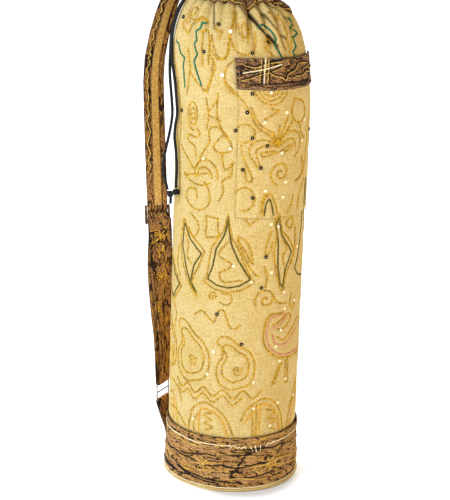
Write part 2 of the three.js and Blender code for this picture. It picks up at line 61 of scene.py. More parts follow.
# %% Camera
CAMERA_PLACE = Vector((0.0, -2.105, 0.936))
CAMERA_PITCH = math.radians(17.19)
CAMERA_YAW = math.radians(-0.42)
CAMERA_ROLL = math.radians(1.84)
FOCAL_LENGTH = 129.6


def new_object(name, data):
    """An object that is linked to the scene."""
    made = bpy.data.objects.new(name, data)
    bpy.context.scene.collection.objects.link(made)
    return made


def aim_camera():
    level = math.cos(CAMERA_PITCH)
    forward = Vector((math.sin(CAMERA_YAW) * level, math.cos(CAMERA_YAW) * level, -math.sin(CAMERA_PITCH)))
    side = Vector((math.cos(CAMERA_YAW), -math.sin(CAMERA_YAW), 0))
    head = side.cross(forward)
    right = side * math.cos(CAMERA_ROLL) + head * math.sin(CAMERA_ROLL)
    up = head * math.cos(CAMERA_ROLL) - side * math.sin(CAMERA_ROLL)
    lens = bpy.data.cameras.new("camera")
    lens.lens = FOCAL_LENGTH
    camera = new_object("camera", lens)
    turn = Matrix((right, up, -forward)).transposed()
    camera.matrix_world = Matrix.Translation(CAMERA_PLACE) @ turn.to_4x4()
    return camera


bpy.context.scene.camera = aim_camera()
print("camera at", tuple(CAMERA_PLACE), "lens", FOCAL_LENGTH)

# %% [markdown]
# ## Sums with sockets
# Every finish below is a small node tree. Nodes could be placed one by one, but a sum such as
# `1 - mask * 0.4` is easier to read as Python. The class wraps an output socket, its operators add
# Math nodes, and its `node` method adds any other node: values or links first, then settings.

# %% Node sums
class Link:
    """An output socket of a node tree that can stand in a sum."""

    def __init__(self, tree, socket=None):
        self.tree = tree
        self.socket = socket

    def node(self, kind, values=None, output=0, **settings):
        made = self.tree.nodes.new(kind)
        for name, value in settings.items():
            setattr(made, name, value)
        for key, value in (values or {}).items():
            if isinstance(value, Link):
                self.tree.links.new(value.socket, made.inputs[key])
            else:
                made.inputs[key].default_value = value
        return Link(self.tree, made.outputs[output] if made.outputs else None)

    def out(self, name):
        return Link(self.tree, self.socket.node.outputs[name])

    def math(self, operation, first, second=0.0):
        return self.node("ShaderNodeMath", {0: first, 1: second}, operation=operation)

    def __add__(self, other):
        return self.math("ADD", self, other)

    __radd__ = __add__

    def __sub__(self, other):
        return self.math("SUBTRACT", self, other)

    def __rsub__(self, other):
        return self.math("SUBTRACT", other, self)

    def __mul__(self, other):
        return self.math("MULTIPLY", self, other)

    __rmul__ = __mul__

    def __abs__(self):
        return self.math("ABSOLUTE", self)

    def sine(self):
        return self.math("SINE", self)

    def step(self, low, high):
        """Goes smoothly from 0 to 1 as this value goes from low to high."""
        values = {"Value": self, "From Min": low, "From Max": high}
        return self.node("ShaderNodeMapRange", values, interpolation_type="SMOOTHSTEP")

    def mix(self, first, second):
        """Goes from the first colour to the second as this value goes from 0 to 1."""
        return self.node("ShaderNodeMix", {0: self, 6: first, 7: second}, 2, data_type="RGBA")

    def noise(self, scale, detail):
        """Noise that follows this vector."""
        return self.node("ShaderNodeTexNoise", {"Vector": self, "Scale": scale, "Detail": detail})

    def mark(self, name):
        """A value that the mesh carries at each of its points."""
        return self.node("ShaderNodeAttribute", attribute_name=name).out("Fac")

    def place(self):
        """The place of a shaded point in its piece's own frame."""
        return self.node("ShaderNodeTexCoord").out("Object")


print("node sums ready")

# %% Finishes
def rgba(red, green, blue):
    """A colour as it looks on a screen, 0 to 255, in the linear values that a shader needs."""
    shares = (red / 255, green / 255, blue / 255)
    return (*(c / 12.92 if c < 0.04045 else ((c + 0.055) / 1.055) ** 2.4 for c in shares), 1.0)


def new_finish(name, **constants):
    """A material, the start of its node sums and its main shader, with constant sockets set."""
    material = bpy.data.materials.new(name)
    material.use_nodes = True
    shader = material.node_tree.nodes["Principled BSDF"]
    for key, value in constants.items():
        shader.inputs[key.replace("_", " ")].default_value = value
    return material, Link(material.node_tree), shader


def feed(shader, name, link):
    link.tree.links.new(link.socket, shader.inputs[name])


def feed_bump(shader, height, distance, strength):
    """Tilts the shader's normal by heights, as if the surface rose by a distance where they are 1."""
    values = {"Height": height, "Distance": distance, "Strength": strength}
    feed(shader, "Normal", height.node("ShaderNodeBump", values))


print("a middle grey is", round(rgba(128, 128, 128)[0], 3), "to a shader")

# %% [markdown]
# ## Lofted shells
# Cloth, cord, strap and wire are all one kind of shape: closed rings of points that follow each
# other. The skin is joined up in NumPy, because that keeps control of every row, gives each face a
# UV in metres of cloth, and lets a piece carry values such as how creased it is at each point.

# %% Lofted shells
def loft(rings, looped=False, us=None, vs=None, marks=None):
    """A closed shell through rings of points, looped back to its first ring or capped at both ends."""
    rings = np.asarray(rings, float)
    count, size = rings.shape[:2]
    spans = count if looped else count - 1
    row = np.arange(spans)[:, None]
    column = np.arange(size)[None, :]
    here, after = row * size, (row + 1) % count * size
    beside = (column + 1) % size
    quads = np.stack([here + column, after + column, after + beside, here + beside], -1).reshape(-1, 4)
    us = np.arange(size + 1) * MM if us is None else np.asarray(us)
    vs = np.arange(spans + 1) * MM if vs is None else np.asarray(vs)
    u, v = np.broadcast_to(us, (spans, size + 1)), np.broadcast_to(vs[:, None], (spans + 1, size))
    corners = [(u[:, :-1], v[:-1]), (u[:, :-1], v[1:]), (u[:, 1:], v[1:]), (u[:, 1:], v[:-1])]
    uv = np.stack([np.stack(corner, -1).reshape(-1, 2) for corner in corners], 1)
    if not looped:
        j = np.arange(size // 2 - 1)
        cap = np.stack([j, j + 1, size - 2 - j, size - 1 - j], -1)
        quads = np.concatenate([quads, cap, cap[:, ::-1] + (count - 1) * size])
        uv = np.concatenate([uv, np.zeros((2 * len(j), 4, 2))])
    points = rings.reshape(-1, 3)
    a, b, c, d = (points[quads[:, k]] for k in range(4))
    volume = np.einsum("ij,ij->i", a, np.cross(b, c) + np.cross(c, d)).sum()
    if volume < 0:
        quads, uv = quads[:, ::-1], uv[:, ::-1]
    return {"points": points, "quads": quads, "uv": uv, "marks": marks or {}}


print("lofted shells ready")

# %% Pieces on the bag
def shell_mesh(name, *shells):
    """One smooth mesh of one or more shells, with a UV map in metres and a value per point for each mark."""
    starts = np.cumsum([0] + [len(s["points"]) for s in shells])
    points = np.concatenate([s["points"] for s in shells])
    quads = np.concatenate([s["quads"] + start for s, start in zip(shells, starts)])
    mesh = bpy.data.meshes.new(name)
    mesh.from_pydata(points.tolist(), [], quads.tolist())
    layer = mesh.uv_layers.new(name="cloth")
    layer.data.foreach_set("uv", np.concatenate([s["uv"] for s in shells]).ravel())
    for mark in shells[0]["marks"]:
        values = np.concatenate([np.ravel(s["marks"][mark]) for s in shells])
        mesh.attributes.new(mark, "FLOAT", "POINT").data.foreach_set("value", values)
    mesh.shade_smooth()
    return mesh


def add_piece(name, mesh, finish, slot, *nodes):
    """Puts a finished mesh on the bag, in place of the plain solids that it stands for."""
    piece = new_object(name, mesh)
    if not mesh.materials:
        mesh.materials.append(finish)
    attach(piece, "root")
    if nodes:
        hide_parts(*nodes)
    print(name, "faces:", len(mesh.polygons))
    return piece


def add_shells(name, shells, finish, slot, *nodes):
    """Puts lofted shells on the bag, as one piece."""
    return add_piece(name, shell_mesh(name, *shells), finish, slot, *nodes)


print("solids to stand in for:", len(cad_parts))

# %% [markdown]
# ## Smooth routes
# A cord or strap follows a few chosen points. Blender's own curves could carry them, but the solids
# were made on a curve that passes through each point and bends less where points are close. The
# same curve is worked out here, and the pieces then lie exactly where their solids lie.

# %% Smooth routes
SAMPLES_PER_POINT = 30
SMALLEST_GAP = 1e-6


def unit(vectors):
    """The same directions, each with a length of 1."""
    return vectors / np.linalg.norm(vectors, axis=-1, keepdims=True)


def travelled(points):
    """The length of the way to each point of a row."""
    return np.concatenate([[0], np.cumsum(np.linalg.norm(np.diff(points, axis=0), axis=1))])


def route_length(points):
    return float(travelled(points)[-1])


def route_point(points, place):
    """A point of the smooth curve through the points, at a place from 0 to the last point's number."""
    points = np.asarray(points, float)
    last = len(points) - 1
    low = int(min(math.floor(place), last - 1))
    share = place - low
    near, far = points[low], points[low + 1]
    before = points[low - 1] if low > 0 else 2 * near - far
    beyond = points[low + 2] if low + 2 <= last else 2 * far - near
    pairs = ((before, near), (near, far), (far, beyond))
    first, middle, final = (max(np.sum((b - a) ** 2) ** 0.25, SMALLEST_GAP) for a, b in pairs)
    slope_near = (near - before) / first - (far - before) / (first + middle) + (far - near) / middle
    slope_far = (far - near) / middle - (beyond - near) / (middle + final) + (beyond - far) / final
    slope_near, slope_far = slope_near * middle, slope_far * middle
    cubic = 2 * near - 2 * far + slope_near + slope_far
    square = -3 * near + 3 * far - 2 * slope_near - slope_far
    return ((cubic * share + square) * share + slope_near) * share + near


def smooth_route(points, step):
    """Points at an even step along the smooth curve."""
    places = np.linspace(0, len(points) - 1, SAMPLES_PER_POINT * len(points))
    dense = np.array([route_point(points, place) for place in places])
    lengths = travelled(dense)
    stations = np.linspace(0, lengths[-1], max(2, round(lengths[-1] / step) + 1))
    return np.stack([np.interp(stations, lengths, dense[:, k]) for k in range(dense.shape[1])], -1)


print("routes ready, with", SAMPLES_PER_POINT, "samples for each chosen point")

# %% Round tubes
FIRST_SIDE = (0.31, 0.55, 0.77)


def tube_rings(route, radius, sides):
    """Round rings along a route, without twist; the radius may change by ring and by side."""
    along = unit(np.gradient(route, axis=0))
    side = np.cross(along[0], FIRST_SIDE)
    angles = 2 * np.pi * np.arange(sides)[:, None] / sides
    radius = np.broadcast_to(radius, (len(route), sides))
    rings = []
    for centre, way, reach in zip(route, along, radius):
        side = unit(side - way * side.dot(way))
        other = np.cross(way, side)
        rings.append(centre + reach[:, None] * (np.cos(angles) * side + np.sin(angles) * other))
    return np.array(rings)


print("the first side of a tube is set by", FIRST_SIDE)

# %% [markdown]
# ## Drawcord
# Both ends of the black drawcord leave the casing by a slit, hang down the left side and are tied
# off. A bevelled curve would give a smooth rod. A braid has eight strands that cross over and under
# each other, so the tube's radius follows two sets of spirals, and the ridges are real.

# %% Black cord finish
def black_cord_finish():
    material, start, shader = new_finish("black_braided_cord", Roughness=0.7, Specular_IOR_Level=0.3)
    fibres = start.place().noise(900.0, 3.0)
    feed(shader, "Base Color", fibres.step(0.3, 0.75).mix(rgba(8, 7, 8), rgba(28, 24, 26)))
    feed_bump(shader, fibres, 0.2 * MM, 0.5)
    return material


black_cord = black_cord_finish()
print("finish:", black_cord.name)

# %% Drawcord strands
CORD_RADIUS = 1.75 * MM
BRAID_RELIEF = 0.14 * MM
BRAID_PITCH = 5.2 * MM
CORD_SIDES = 16
STRANDS_EACH_WAY = 4
CORD_STEP = 0.8 * MM
CORD_FRONT_ROUTE = np.array([
    (-46.6, -6.4, 609.7), (-51, -7, 608.3), (-56.7, -8, 606.1), (-63.7, -9, 601.6),
    (-70, -10, 594.8), (-76.6, -11.3, 584), (-81.2, -12.8, 571.6), (-84.1, -14.1, 558.5),
    (-85.4, -15.4, 544.7), (-85.2, -17, 530.7), (-84, -19.2, 518), (-82, -22.4, 507),
    (-80.2, -25, 496), (-79, -26, 486), (-77.6, -29, 473), (-76.8, -31, 460),
    (-78.8, -27, 445), (-79.4, -25.6, 431), (-77.4, -30.2, 416), (-76, -33.2, 402),
    (-75.6, -34.4, 388), (-76, -35.6, 377), (-75.8, -37.6, 371.6),
]) * MM
CORD_REAR_ROUTE = np.array([
    (-47.2, -2.3, 609.7), (-51.6, -2.9, 608.3), (-57.3, -3.6, 606.1), (-64.2, -4.5, 601.6),
    (-70.5, -5.4, 594.8), (-77.6, -6.8, 584.2), (-82.5, -8.1, 571.9), (-85.5, -9.1, 558.7),
    (-86.9, -10, 544.8), (-87.2, -11.2, 530.7), (-87.4, -13.4, 517), (-87, -15.4, 504),
    (-85.4, -17.6, 488), (-83.8, -19.6, 473), (-82.8, -21, 460), (-83.8, -21.6, 447),
    (-86.2, -22, 432), (-89.4, -22.6, 416), (-91.8, -23.2, 402), (-91.6, -24, 389),
    (-89, -25.6, 376), (-86.2, -27.4, 366.4),
]) * MM


def braided(route, radius=CORD_RADIUS):
    """A braided tube along a route: two sets of four spirals that cross."""
    wound = np.linspace(0, route_length(route), len(route))[:, None] * 2 * np.pi / BRAID_PITCH
    turned = STRANDS_EACH_WAY * 2 * np.pi * np.arange(CORD_SIDES)[None, :] / CORD_SIDES
    relief = BRAID_RELIEF * (np.cos(turned + wound) + np.cos(turned - wound)) / 2
    return loft(tube_rings(route, radius + relief, CORD_SIDES))


cord_routes = {
    "drawcord_front": smooth_route(CORD_FRONT_ROUTE, CORD_STEP),
    "drawcord_rear": smooth_route(CORD_REAR_ROUTE, CORD_STEP),
}
strands = {}
for node, route in cord_routes.items():
    strands[node] = add_shells(node + "_braid", [braided(route)], black_cord, "black_cord", node)
    print(node, "length", round(route_length(route), 4))

# %% [markdown]
# The two overhand knots close the strands, with a short link between them and one free tail. A ball
# would pass from far away. The curve of a trefoil is the true path of a cord in an overhand knot,
# so each knot is a trefoil drawn tight, and the link and the tail are plain lengths of braid.

# %% Drawcord knots
KNOT_UPPER = np.array((-75.6, -38.8, 367)) * MM
KNOT_LOWER = np.array((-83.2, -29.6, 362)) * MM
CORD_TAIL_END = np.array((-82.4, -29.4, 350)) * MM
KNOT_REACH = 1.05 * MM
KNOT_POINTS = 90
TAIL_SWAY = np.array((0.6, -0.8, 0)) * MM


def knot_route(centre, turn):
    """A trefoil, turned about the upright and a little flat from front to back."""
    angle = np.linspace(0, 2 * np.pi, KNOT_POINTS) + 0.2
    across = (np.sin(angle) + 2 * np.sin(2 * angle)) * KNOT_REACH
    deep = (np.cos(angle) - 2 * np.cos(2 * angle)) * KNOT_REACH
    up = -np.sin(3 * angle) * 1.7 * KNOT_REACH
    return centre + np.stack([across * np.cos(turn), deep * 0.8 + across * np.sin(turn), up], -1)


def tail_route(start, end):
    """A short way from place to place that bows a little."""
    share = np.linspace(0, 1, 16)[:, None]
    return start + (end - start) * share + np.sin(np.pi * share) * TAIL_SWAY


knot_routes = [knot_route(KNOT_UPPER, 0.3), knot_route(KNOT_LOWER, -0.5)]
knot_routes += [tail_route(KNOT_UPPER, KNOT_LOWER), tail_route(KNOT_LOWER, CORD_TAIL_END)]
knot_shells = [braided(route) for route in knot_routes]
knots = add_shells("drawcord_overhand_knots", knot_shells, black_cord, "black_cord", "drawcord_knots")

for node, strand in strands.items():
    route = cord_routes[node]

# %% [markdown]
# ## The shape of the bag
# One function gives any point of the cloth: an azimuth round the tube, 0 at the front, and a length
# of cloth up from the floor. Everything that is sewn on uses the same function, so it lies on the
# cloth by itself. Soft cloth is never even, so three small curves and a seeded noise come first. A
# noise texture could move the points too, but only a function can be asked for any place.

# %% Curves and noise
NOISE_ROWS = 64


def ramp(value, width):
    """Goes evenly from 0 to 1 as a value goes from 0 to a width."""
    return np.clip(value / width, 0, 1)


def bell(value, width):
    """1 where a value is 0, and next to nothing from two widths away."""
    return np.exp(-((value / width) ** 2))


def turn_from(azimuth, start):
    """How far azimuths are from one of them, from -180 to 180 degrees."""
    return (azimuth - start + 180) % 360 - 180


def cloth_noise(u, v, seed, columns=64):
    """Smooth random heights from -1 to 1, repeated after some columns so that a band can close."""
    table = np.random.default_rng(seed).uniform(-1, 1, (columns, NOISE_ROWS))
    i, j = np.floor(u).astype(int), np.floor(v).astype(int)
    s, t = u - i, v - j
    s, t = s * s * (3 - 2 * s), t * t * (3 - 2 * t)
    i, i_next, j, j_next = i % columns, (i + 1) % columns, j % NOISE_ROWS, (j + 1) % NOISE_ROWS
    near = table[i, j] * (1 - s) + table[i_next, j] * s
    far = table[i, j_next] * (1 - s) + table[i_next, j_next] * s
    return near * (1 - t) + far * t


print("one height of the noise:", round(float(cloth_noise(0.5, 0.5, 11)), 3))

# %% [markdown]
# Above the shoulder the cloth climbs over a dome and is drawn into gathers, and a few sharp folds run
# down from the mouth. A cloth simulation could gather a tube, but not into the folds of this bag. So
# the gathers are waves round the tube, and each fold is a short path with a depth in millimetres.

# %% Gathers
TUBE_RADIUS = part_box("body_tube")[1].y
SHOULDER = 0.520
CLIMB_LENGTH = 0.0017
FOLD_PITCH = 15.0
FOLD_SHARES = np.array([
    0.7, 1.3, 1.5, 1.2, 0.9, 1.1, 0.8, 0.6, 0.9, 1.1, 0.7, 1.0,
    0.8, 1.2, 0.9, 0.7, 1.0, 0.8, 0.6, 0.7, 0.9, 0.5, 0.8, 0.6,
])
FOLD_SHARPNESS = 0.75


def climb_at(along):
    """How far up the dome a length of cloth reaches, in degrees."""
    return (along - SHOULDER) / CLIMB_LENGTH


def pleats(azimuth):
    """How far a gather stands in or out, from a sharp valley to a round ridge."""
    place = azimuth / FOLD_PITCH
    fold = np.floor(place).astype(int)
    part = place - fold
    count = len(FOLD_SHARES)
    share = FOLD_SHARES[fold % count] * (1 - part) + FOLD_SHARES[(fold + 1) % count] * part
    return share * (2 * np.abs(np.sin(np.pi * part)) ** FOLD_SHARPNESS - 1)


print("tube radius", round(TUBE_RADIUS, 4), "gathers:", len(FOLD_SHARES))

# %% Deep folds
DEEP_FOLDS = [
    (4.5, [(6, 612), (12, 602), (16, 590), (19, 581), (23, 572), (31, 563), (37, 550)]),
    (1.8, [(21, 602), (32, 590), (37, 574), (50, 556)]), (1.5, [(46, 606), (53, 592), (66, 578), (74, 560)]),
    (1.8, [(-29, 606), (-24, 588), (-22, 572)]), (1.8, [(4, 604), (12, 586), (10, 564)]),
    (1.6, [(-58, 604), (-54, 584)]), (3.0, [(170, 606), (174, 586), (180, 566)]),
    (2.4, [(208, 604), (204, 584), (198, 562)]), (2.2, [(128, 604), (136, 584), (138, 566)]),
]
DEEP_FOLD_START = 0.53
DEEP_FOLD_WIDTH = 3.0 * MM


def fold_distance(azimuth, along, path):
    """How far places are from the path of a fold, measured on the cloth as it narrows to the mouth."""
    narrow = np.cos(np.radians(np.clip(climb_at(along), 0, 80))) * TUBE_RADIUS * math.pi / 180
    nearest = np.full(np.shape(along), 1.0)
    for (start_turn, start), (end_turn, end) in zip(path, path[1:]):
        across, up = (end_turn - start_turn) * narrow, (end - start) * MM
        aside = turn_from(azimuth, start_turn) * narrow
        share = np.clip((aside * across + (along - start * MM) * up) / (across**2 + up**2), 0, 1)
        gap = np.hypot(aside - across * share, along - start * MM - up * share)
        nearest = np.minimum(nearest, gap)
    return nearest


def deep_folds(azimuth, along):
    """The depth of the sharp folds in the gathers."""
    depth = np.zeros(np.shape(along))
    if np.max(along) > DEEP_FOLD_START:
        for reach, path in DEEP_FOLDS:
            gap = fold_distance(azimuth, along, path)
            depth = np.maximum(depth, reach * MM * np.exp(-gap / DEEP_FOLD_WIDTH))
    return depth


print("deep folds:", len(DEEP_FOLDS))

# %% [markdown]
# Now the surface itself. A lathe would turn the tube and the dome, but the bag leans to the left at
# its top, is slack at the right shoulder and has soft dents all over. So a point is found on the
# plain shape first, and is then moved out along the surface by the sum of all of these.

# %% Dents and the slack shoulder
RELIEF_BASE = -0.8
RELIEF_LAYERS = ((0.5, 30, 0.085, 11, 12), (0.22, 9, 0.026, 12, 40), (0.24, 4.5, 0.0065, 13, 80))
RELIEF_FOOT, RELIEF_RISE = 0.01, 0.05
SAG_AZIMUTH, SAG_WIDTH = 88, 42
SAG_CLIMBS = [20, 34, 41, 48, 58, 64]
SAG_DEPTHS = np.array([0, 1.2, 3.2, 6, 3, 0]) * MM


def cloth_relief(azimuth, along):
    """The soft unevenness of filled cloth, always a little inside the true tube."""
    uneven = RELIEF_BASE
    for share, turn, length, seed, columns in RELIEF_LAYERS:
        uneven = uneven + share * cloth_noise(azimuth / turn, along / length, seed, columns)
    return uneven * MM * ramp(along - RELIEF_FOOT, RELIEF_RISE) - deep_folds(azimuth, along)


def shoulder_sag(azimuth, climb):
    """The slack shoulder on the right lies a little lower than the dome."""
    return np.interp(climb, SAG_CLIMBS, SAG_DEPTHS) * bell(turn_from(azimuth, SAG_AZIMUTH), SAG_WIDTH)


print("layers of relief:", len(RELIEF_LAYERS), "deepest sag:", SAG_DEPTHS.max())

# %% Bag surface
DOME = 0.100
LEAN_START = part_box("body_tube")[1].z
LEAN_RATE = -0.105
STEEPEST = 88
GATHER_CLIMBS = [0, 12, 26, 40, 52, 60, 73.5, 80]
GATHER_DEPTHS = np.array([0, 0.6, 2.2, 3.8, 3.0, 0.6, 0.4, 1.8]) * MM


def bag_point(azimuth, along, out=0.0):
    """Points of the cloth at azimuths in degrees and lengths of cloth up from the floor."""
    azimuth, along, out = np.broadcast_arrays(np.asarray(azimuth, float), along, out)
    turn = np.radians(azimuth)
    climb = np.clip(climb_at(along), 0, STEEPEST)
    depth = np.interp(climb, GATHER_CLIMBS, GATHER_DEPTHS)
    out = out + cloth_relief(azimuth, along) + depth * pleats(azimuth) - shoulder_sag(azimuth, climb)
    climb = np.radians(climb)
    across, up = np.cos(climb) / TUBE_RADIUS, np.sin(climb) / DOME
    slope = np.hypot(across, up)
    height = np.where(along < SHOULDER, along, SHOULDER + DOME * np.sin(climb))
    radius = TUBE_RADIUS * np.cos(climb) + out * across / slope
    lean = LEAN_RATE * np.maximum(0, height - LEAN_START)
    return np.stack([radius * np.sin(turn) + lean, -radius * np.cos(turn), height + out * up / slope], -1)


def bag_normal(azimuth, along, out=0.0):
    """The way out from the cloth at the same places."""
    around_it = bag_point(azimuth + 0.5, along, out) - bag_point(azimuth - 0.5, along, out)
    upward = bag_point(azimuth, along + MM, out) - bag_point(azimuth, along - MM, out)
    return unit(np.cross(around_it, upward))


print("shoulder at the front:", np.round(bag_point(0, SHOULDER), 4))

# %% Edges on the surface
EDGE_CLIMB, EDGE_DROP = 50, 14
DIP_AZIMUTH, DIP_WIDTH, DIP_DROP = 15, 7, 5.5


def casing_edge(azimuth):
    """The length of cloth up to the casing's edge, which hangs lower on the right and dips at the front."""
    hang = EDGE_DROP * np.maximum(0, np.sin(np.radians(azimuth))) ** 14
    dip = DIP_DROP * bell(turn_from(azimuth, DIP_AZIMUTH), DIP_WIDTH)
    return SHOULDER + CLIMB_LENGTH * (EDGE_CLIMB - (hang + dip))


def along_at(height):
    """The length of cloth up to a height."""
    height = np.asarray(height)
    climb = np.degrees(np.arcsin(ramp(height - SHOULDER, DOME)))
    return np.where(height < SHOULDER, height, SHOULDER + CLIMB_LENGTH * climb)


print("casing's edge at the front and right:", np.round(casing_edge(np.array((0, 90))), 4))

# %% [markdown]
# ## Where the pocket, trim and band lie
# Thread that crosses the pocket has to lie on the pocket, and thread that would run under the trim,
# the band or the casing stops there. So the stand-off of the pocket and the covered zones are
# written as functions of the same azimuth and length of cloth.

# %% Pocket, trim and band zones
GAP = 0.3 * MM
POCKET_LEFT, POCKET_RIGHT = -3.0, 95.0
POCKET_FOOT, POCKET_HEAD = 0.349, 0.536
POCKET_CLOTH, POCKET_SLACK, POCKET_DROP = 1.0 * MM, 0.8 * MM, 5.0 * MM
POCKET_RIPPLE = 0.35 * MM
TRIM_FOOT, TRIM_HEAD = 0.503, 0.539
BAND_FOOT, BAND_HEAD = 0.004, 0.070
COVER_MARGIN = 1.5 * MM


def pocket_share(azimuth):
    """0 at the pocket's left side and 1 at its right."""
    return (turn_from(azimuth, 0) - POCKET_LEFT) / (POCKET_RIGHT - POCKET_LEFT)


def pocket_stand(azimuth, along):
    """How far the back of the pocket stands off the tube: more at its slack mouth, and never flat."""
    share = pocket_share(azimuth)
    side = np.sin(np.pi * np.clip(share, 0, 1))
    rise = ramp(along - POCKET_FOOT, POCKET_HEAD - POCKET_FOOT)
    ripple = POCKET_RIPPLE * (1 + cloth_noise(share * 5, along / 0.04, 21)) * side
    return GAP + POCKET_SLACK * side * rise + ripple


def pocket_face(azimuth, along):
    return pocket_stand(azimuth, along) + POCKET_CLOTH


def within(azimuth, along, foot, head, border=0.0):
    """Whether places lie between two heights of the pocket's columns, which drop to the right."""
    share = pocket_share(azimuth)
    drop = POCKET_DROP * share
    columns = (share > -border) & (share < 1 + border)
    return columns & (along > along_at(foot) - drop) & (along < along_at(head) - drop)


def cloth_face(azimuth, along):
    """How far the outermost straw cloth stands off the tube: the pocket's face, or the tube itself."""
    return np.where(within(azimuth, along, POCKET_FOOT, POCKET_HEAD), pocket_face(azimuth, along), 0.0)


def is_covered(azimuth, along):
    """Whether brown cloth lies over these places of the straw cloth."""
    trim = within(azimuth, along, TRIM_FOOT - MM, TRIM_HEAD + MM, border=0.01)
    return trim | (along < BAND_HEAD + COVER_MARGIN) | (along > casing_edge(azimuth) - COVER_MARGIN)


print("pocket spans", POCKET_LEFT, "to", POCKET_RIGHT, "degrees")

# %% [markdown]
# ## Embroidery drawn as paths
# The cloth carries rows of old folk ornament: zigzags, spirals, arches, leaves, triangles and
# diamonds. Each is a short path in azimuth (degrees) and cloth length (millimetres). A path could be
# drawn with a curve object. Written as places on the cloth, it can be wrapped, clipped and repeated
# on the far side of the bag without any projection.

# %% Path makers
ARC = TUBE_RADIUS * math.pi / 180
PATH_STEP = 1.2 * MM


def on_chart(places):
    """Degrees and millimetres, in pairs or in a text of pairs, to metres round the tube and up the cloth."""
    if isinstance(places, str):
        places = [pair.split(",") for pair in places.split()]
    return np.array(places, float) * (ARC, MM)


def trail(places):
    """A smooth path through places."""
    return smooth_route(on_chart(places), PATH_STEP)


def corners(places):
    """A path with corners at places."""
    chart = on_chart(places)
    runs = [np.linspace(a, b, max(2, round(np.linalg.norm(b - a) / PATH_STEP)), endpoint=False)
            for a, b in zip(chart, chart[1:])]
    return np.concatenate([*runs, chart[-1:]])


print("path makers ready, with a step of", PATH_STEP, "m")

# %% Ovals, spirals and second rows
def oval(azimuth, along, width, tall, start=0.0, sweep=360.0):
    """Part of an oval, from a start angle through a sweep."""
    count = max(6, round(math.radians(abs(sweep)) * (width + tall) / 4 * MM / PATH_STEP))
    angle = np.radians(np.linspace(start, start + sweep, count))
    reach = np.stack([np.cos(angle) * width, np.sin(angle) * tall], -1) * MM / 2
    return on_chart([(azimuth, along)]) + reach


def spiral(azimuth, along, width, tall, turns, start=90.0):
    """A spiral that winds outwards from its middle."""
    count = round(turns * math.pi * (width + tall) / 4 * MM / PATH_STEP)
    angle = np.radians(start) + np.linspace(0, 2 * np.pi * turns, count)
    reach = np.linspace(0.1, 1, count)[:, None] * MM / 2
    return on_chart([(azimuth, along)]) + np.stack([np.cos(angle) * width, np.sin(angle) * tall], -1) * reach


def beside(path, distance):
    """A second row of thread beside a path, at a distance in millimetres to its left."""
    along = unit(np.gradient(path, axis=0))
    return path + np.stack([-along[:, 1], along[:, 0]], -1) * distance * MM


def around(path, distance):
    """A row of thread round a closed figure, pushed away from its middle."""
    return path + unit(path - path.mean(0)) * distance * MM


print("points of an oval 20 mm across:", len(oval(0, 0, 20, 20)))

# %% Paths kept for each thread
HAND_SWAY = 0.55 * MM
SWAY_LENGTH = 7 * MM
sewn = {}


def sew(thread, *paths):
    """Keeps paths, or texts of smooth ones, for a thread: swayed by hand, on the front and on the back."""
    for path in paths:
        path = trail(path) if isinstance(path, str) else path
        seed = 100 + sum(len(kept) for kept in sewn.values())
        paces = np.arange(len(path)) * PATH_STEP / SWAY_LENGTH
        sway = [cloth_noise(paces, row + 0.5, seed) for row in (0, 7)]
        swayed = path + np.stack(sway, -1) * HAND_SWAY
        sewn.setdefault(thread, []).extend((swayed, swayed + (180 * ARC, 0)))


print("threads so far:", len(sewn))

# %% Green zigzags and the gathers above the pocket
sew("green",
    corners("-74,554 -75,546 -65,544 -61,534 -54,531 -57,521 -57,496"),
    corners("-32,575 -35,575 -36,568 -42,564 -39,554 -42,549 -38,538 -42,529 -36,502"),
    corners("21,574 30,578 33,570 36,560 36,548 39,538"),
    corners("67,580 68,573 62,568 69,560 60,557 61,546 53,542 56,535"))
sew("gold",
    "-62,564 -64,569 -58,577 -46,577 -35,582 -30,576", "-62,584 -59,590 -48,592 -50,583 -60,580",
    "-48,516 -36,500 -31,496 -27,505 -22,534", "-33,526 -33,550 -33,564 -29,568 -26,556 -27,528",
    "-24,562 -22,550 -19,540 -15,536 -10,540 -7,552", "-18,576 -21,569 -14,567 -17,560",
    corners("-2,594 -4,572"), corners("1,594 -1,572"), "-7,568 -6,558 -3,548 3,542 11,544 16,552 17,568",
    "5,558 5,576 8,578 10,570 9,556", "24,556 30,561 31,553 24,550 31,540", "50,586 44,574 43,560 46,545",
    "70,574 58,560 48,540", "-80,540 -76,520 -70,505 -72,480", "-49,542 -47,522 -52,500 -55,488",
    "-52,574 -60,568 -50,560 -48,572 -38,578 -31,580 -30,568 -36,564",
    "-25,558 -26,542 -21,528 -26,510 -33,496", "2,578 3,564 9,562 15,580",
    "-26,550 -19,536 -12,536 -9,546 -7,562 -2,586", "36,590 49,582 51,566 49,548",
    corners("24,480 32,477 19,467"), "-4,536 -11,526 -13,510 -9,500 -2,494",
    "-20,496 -22,474 -18,456 -11,442")
print("gold paths:", len(sewn["gold"]), "green paths:", len(sewn["green"]))

# %% Spirals, sprouts and loops on the upper tube
sew("gold",
    spiral(-47, 465, 22, 36, 2.6, 60), "-42,450 -38,446 -42,440 -52,440 -53,434 -44,428 -42,416",
    "-32,488 -30,472 -31,452", corners("-30,473 -21,488"), corners("-29,468 -18,464"),
    "-29,448 -27,454 -21,456 -13,448 -8,434 -11,427 -16,426 -23,428 -24,433 -19,442 -15,447",
    "-64,424 -52,411 -43,402 -35,422 -28,437 -29,448", oval(-32, 396, 20, 20, 190, -200),
    oval(-31, 398, 32, 34, 200, -215), "-57,390 -42,395 -26,400", "-57,392 -48,386 -36,383 -26,388",
    "-39,367 -41,377 -50,375 -53,364 -46,355 -36,353 -27,362 -27,378 -32,388",
    "-7,412 -8,399 -15,392 -14,379 -18,368", "-16,426 -15,412 -12,406 -6,416",
    "-70,482 -66,452 -69,420 -65,390 -67,352", "-80,470 -76,440 -79,410 -75,375")
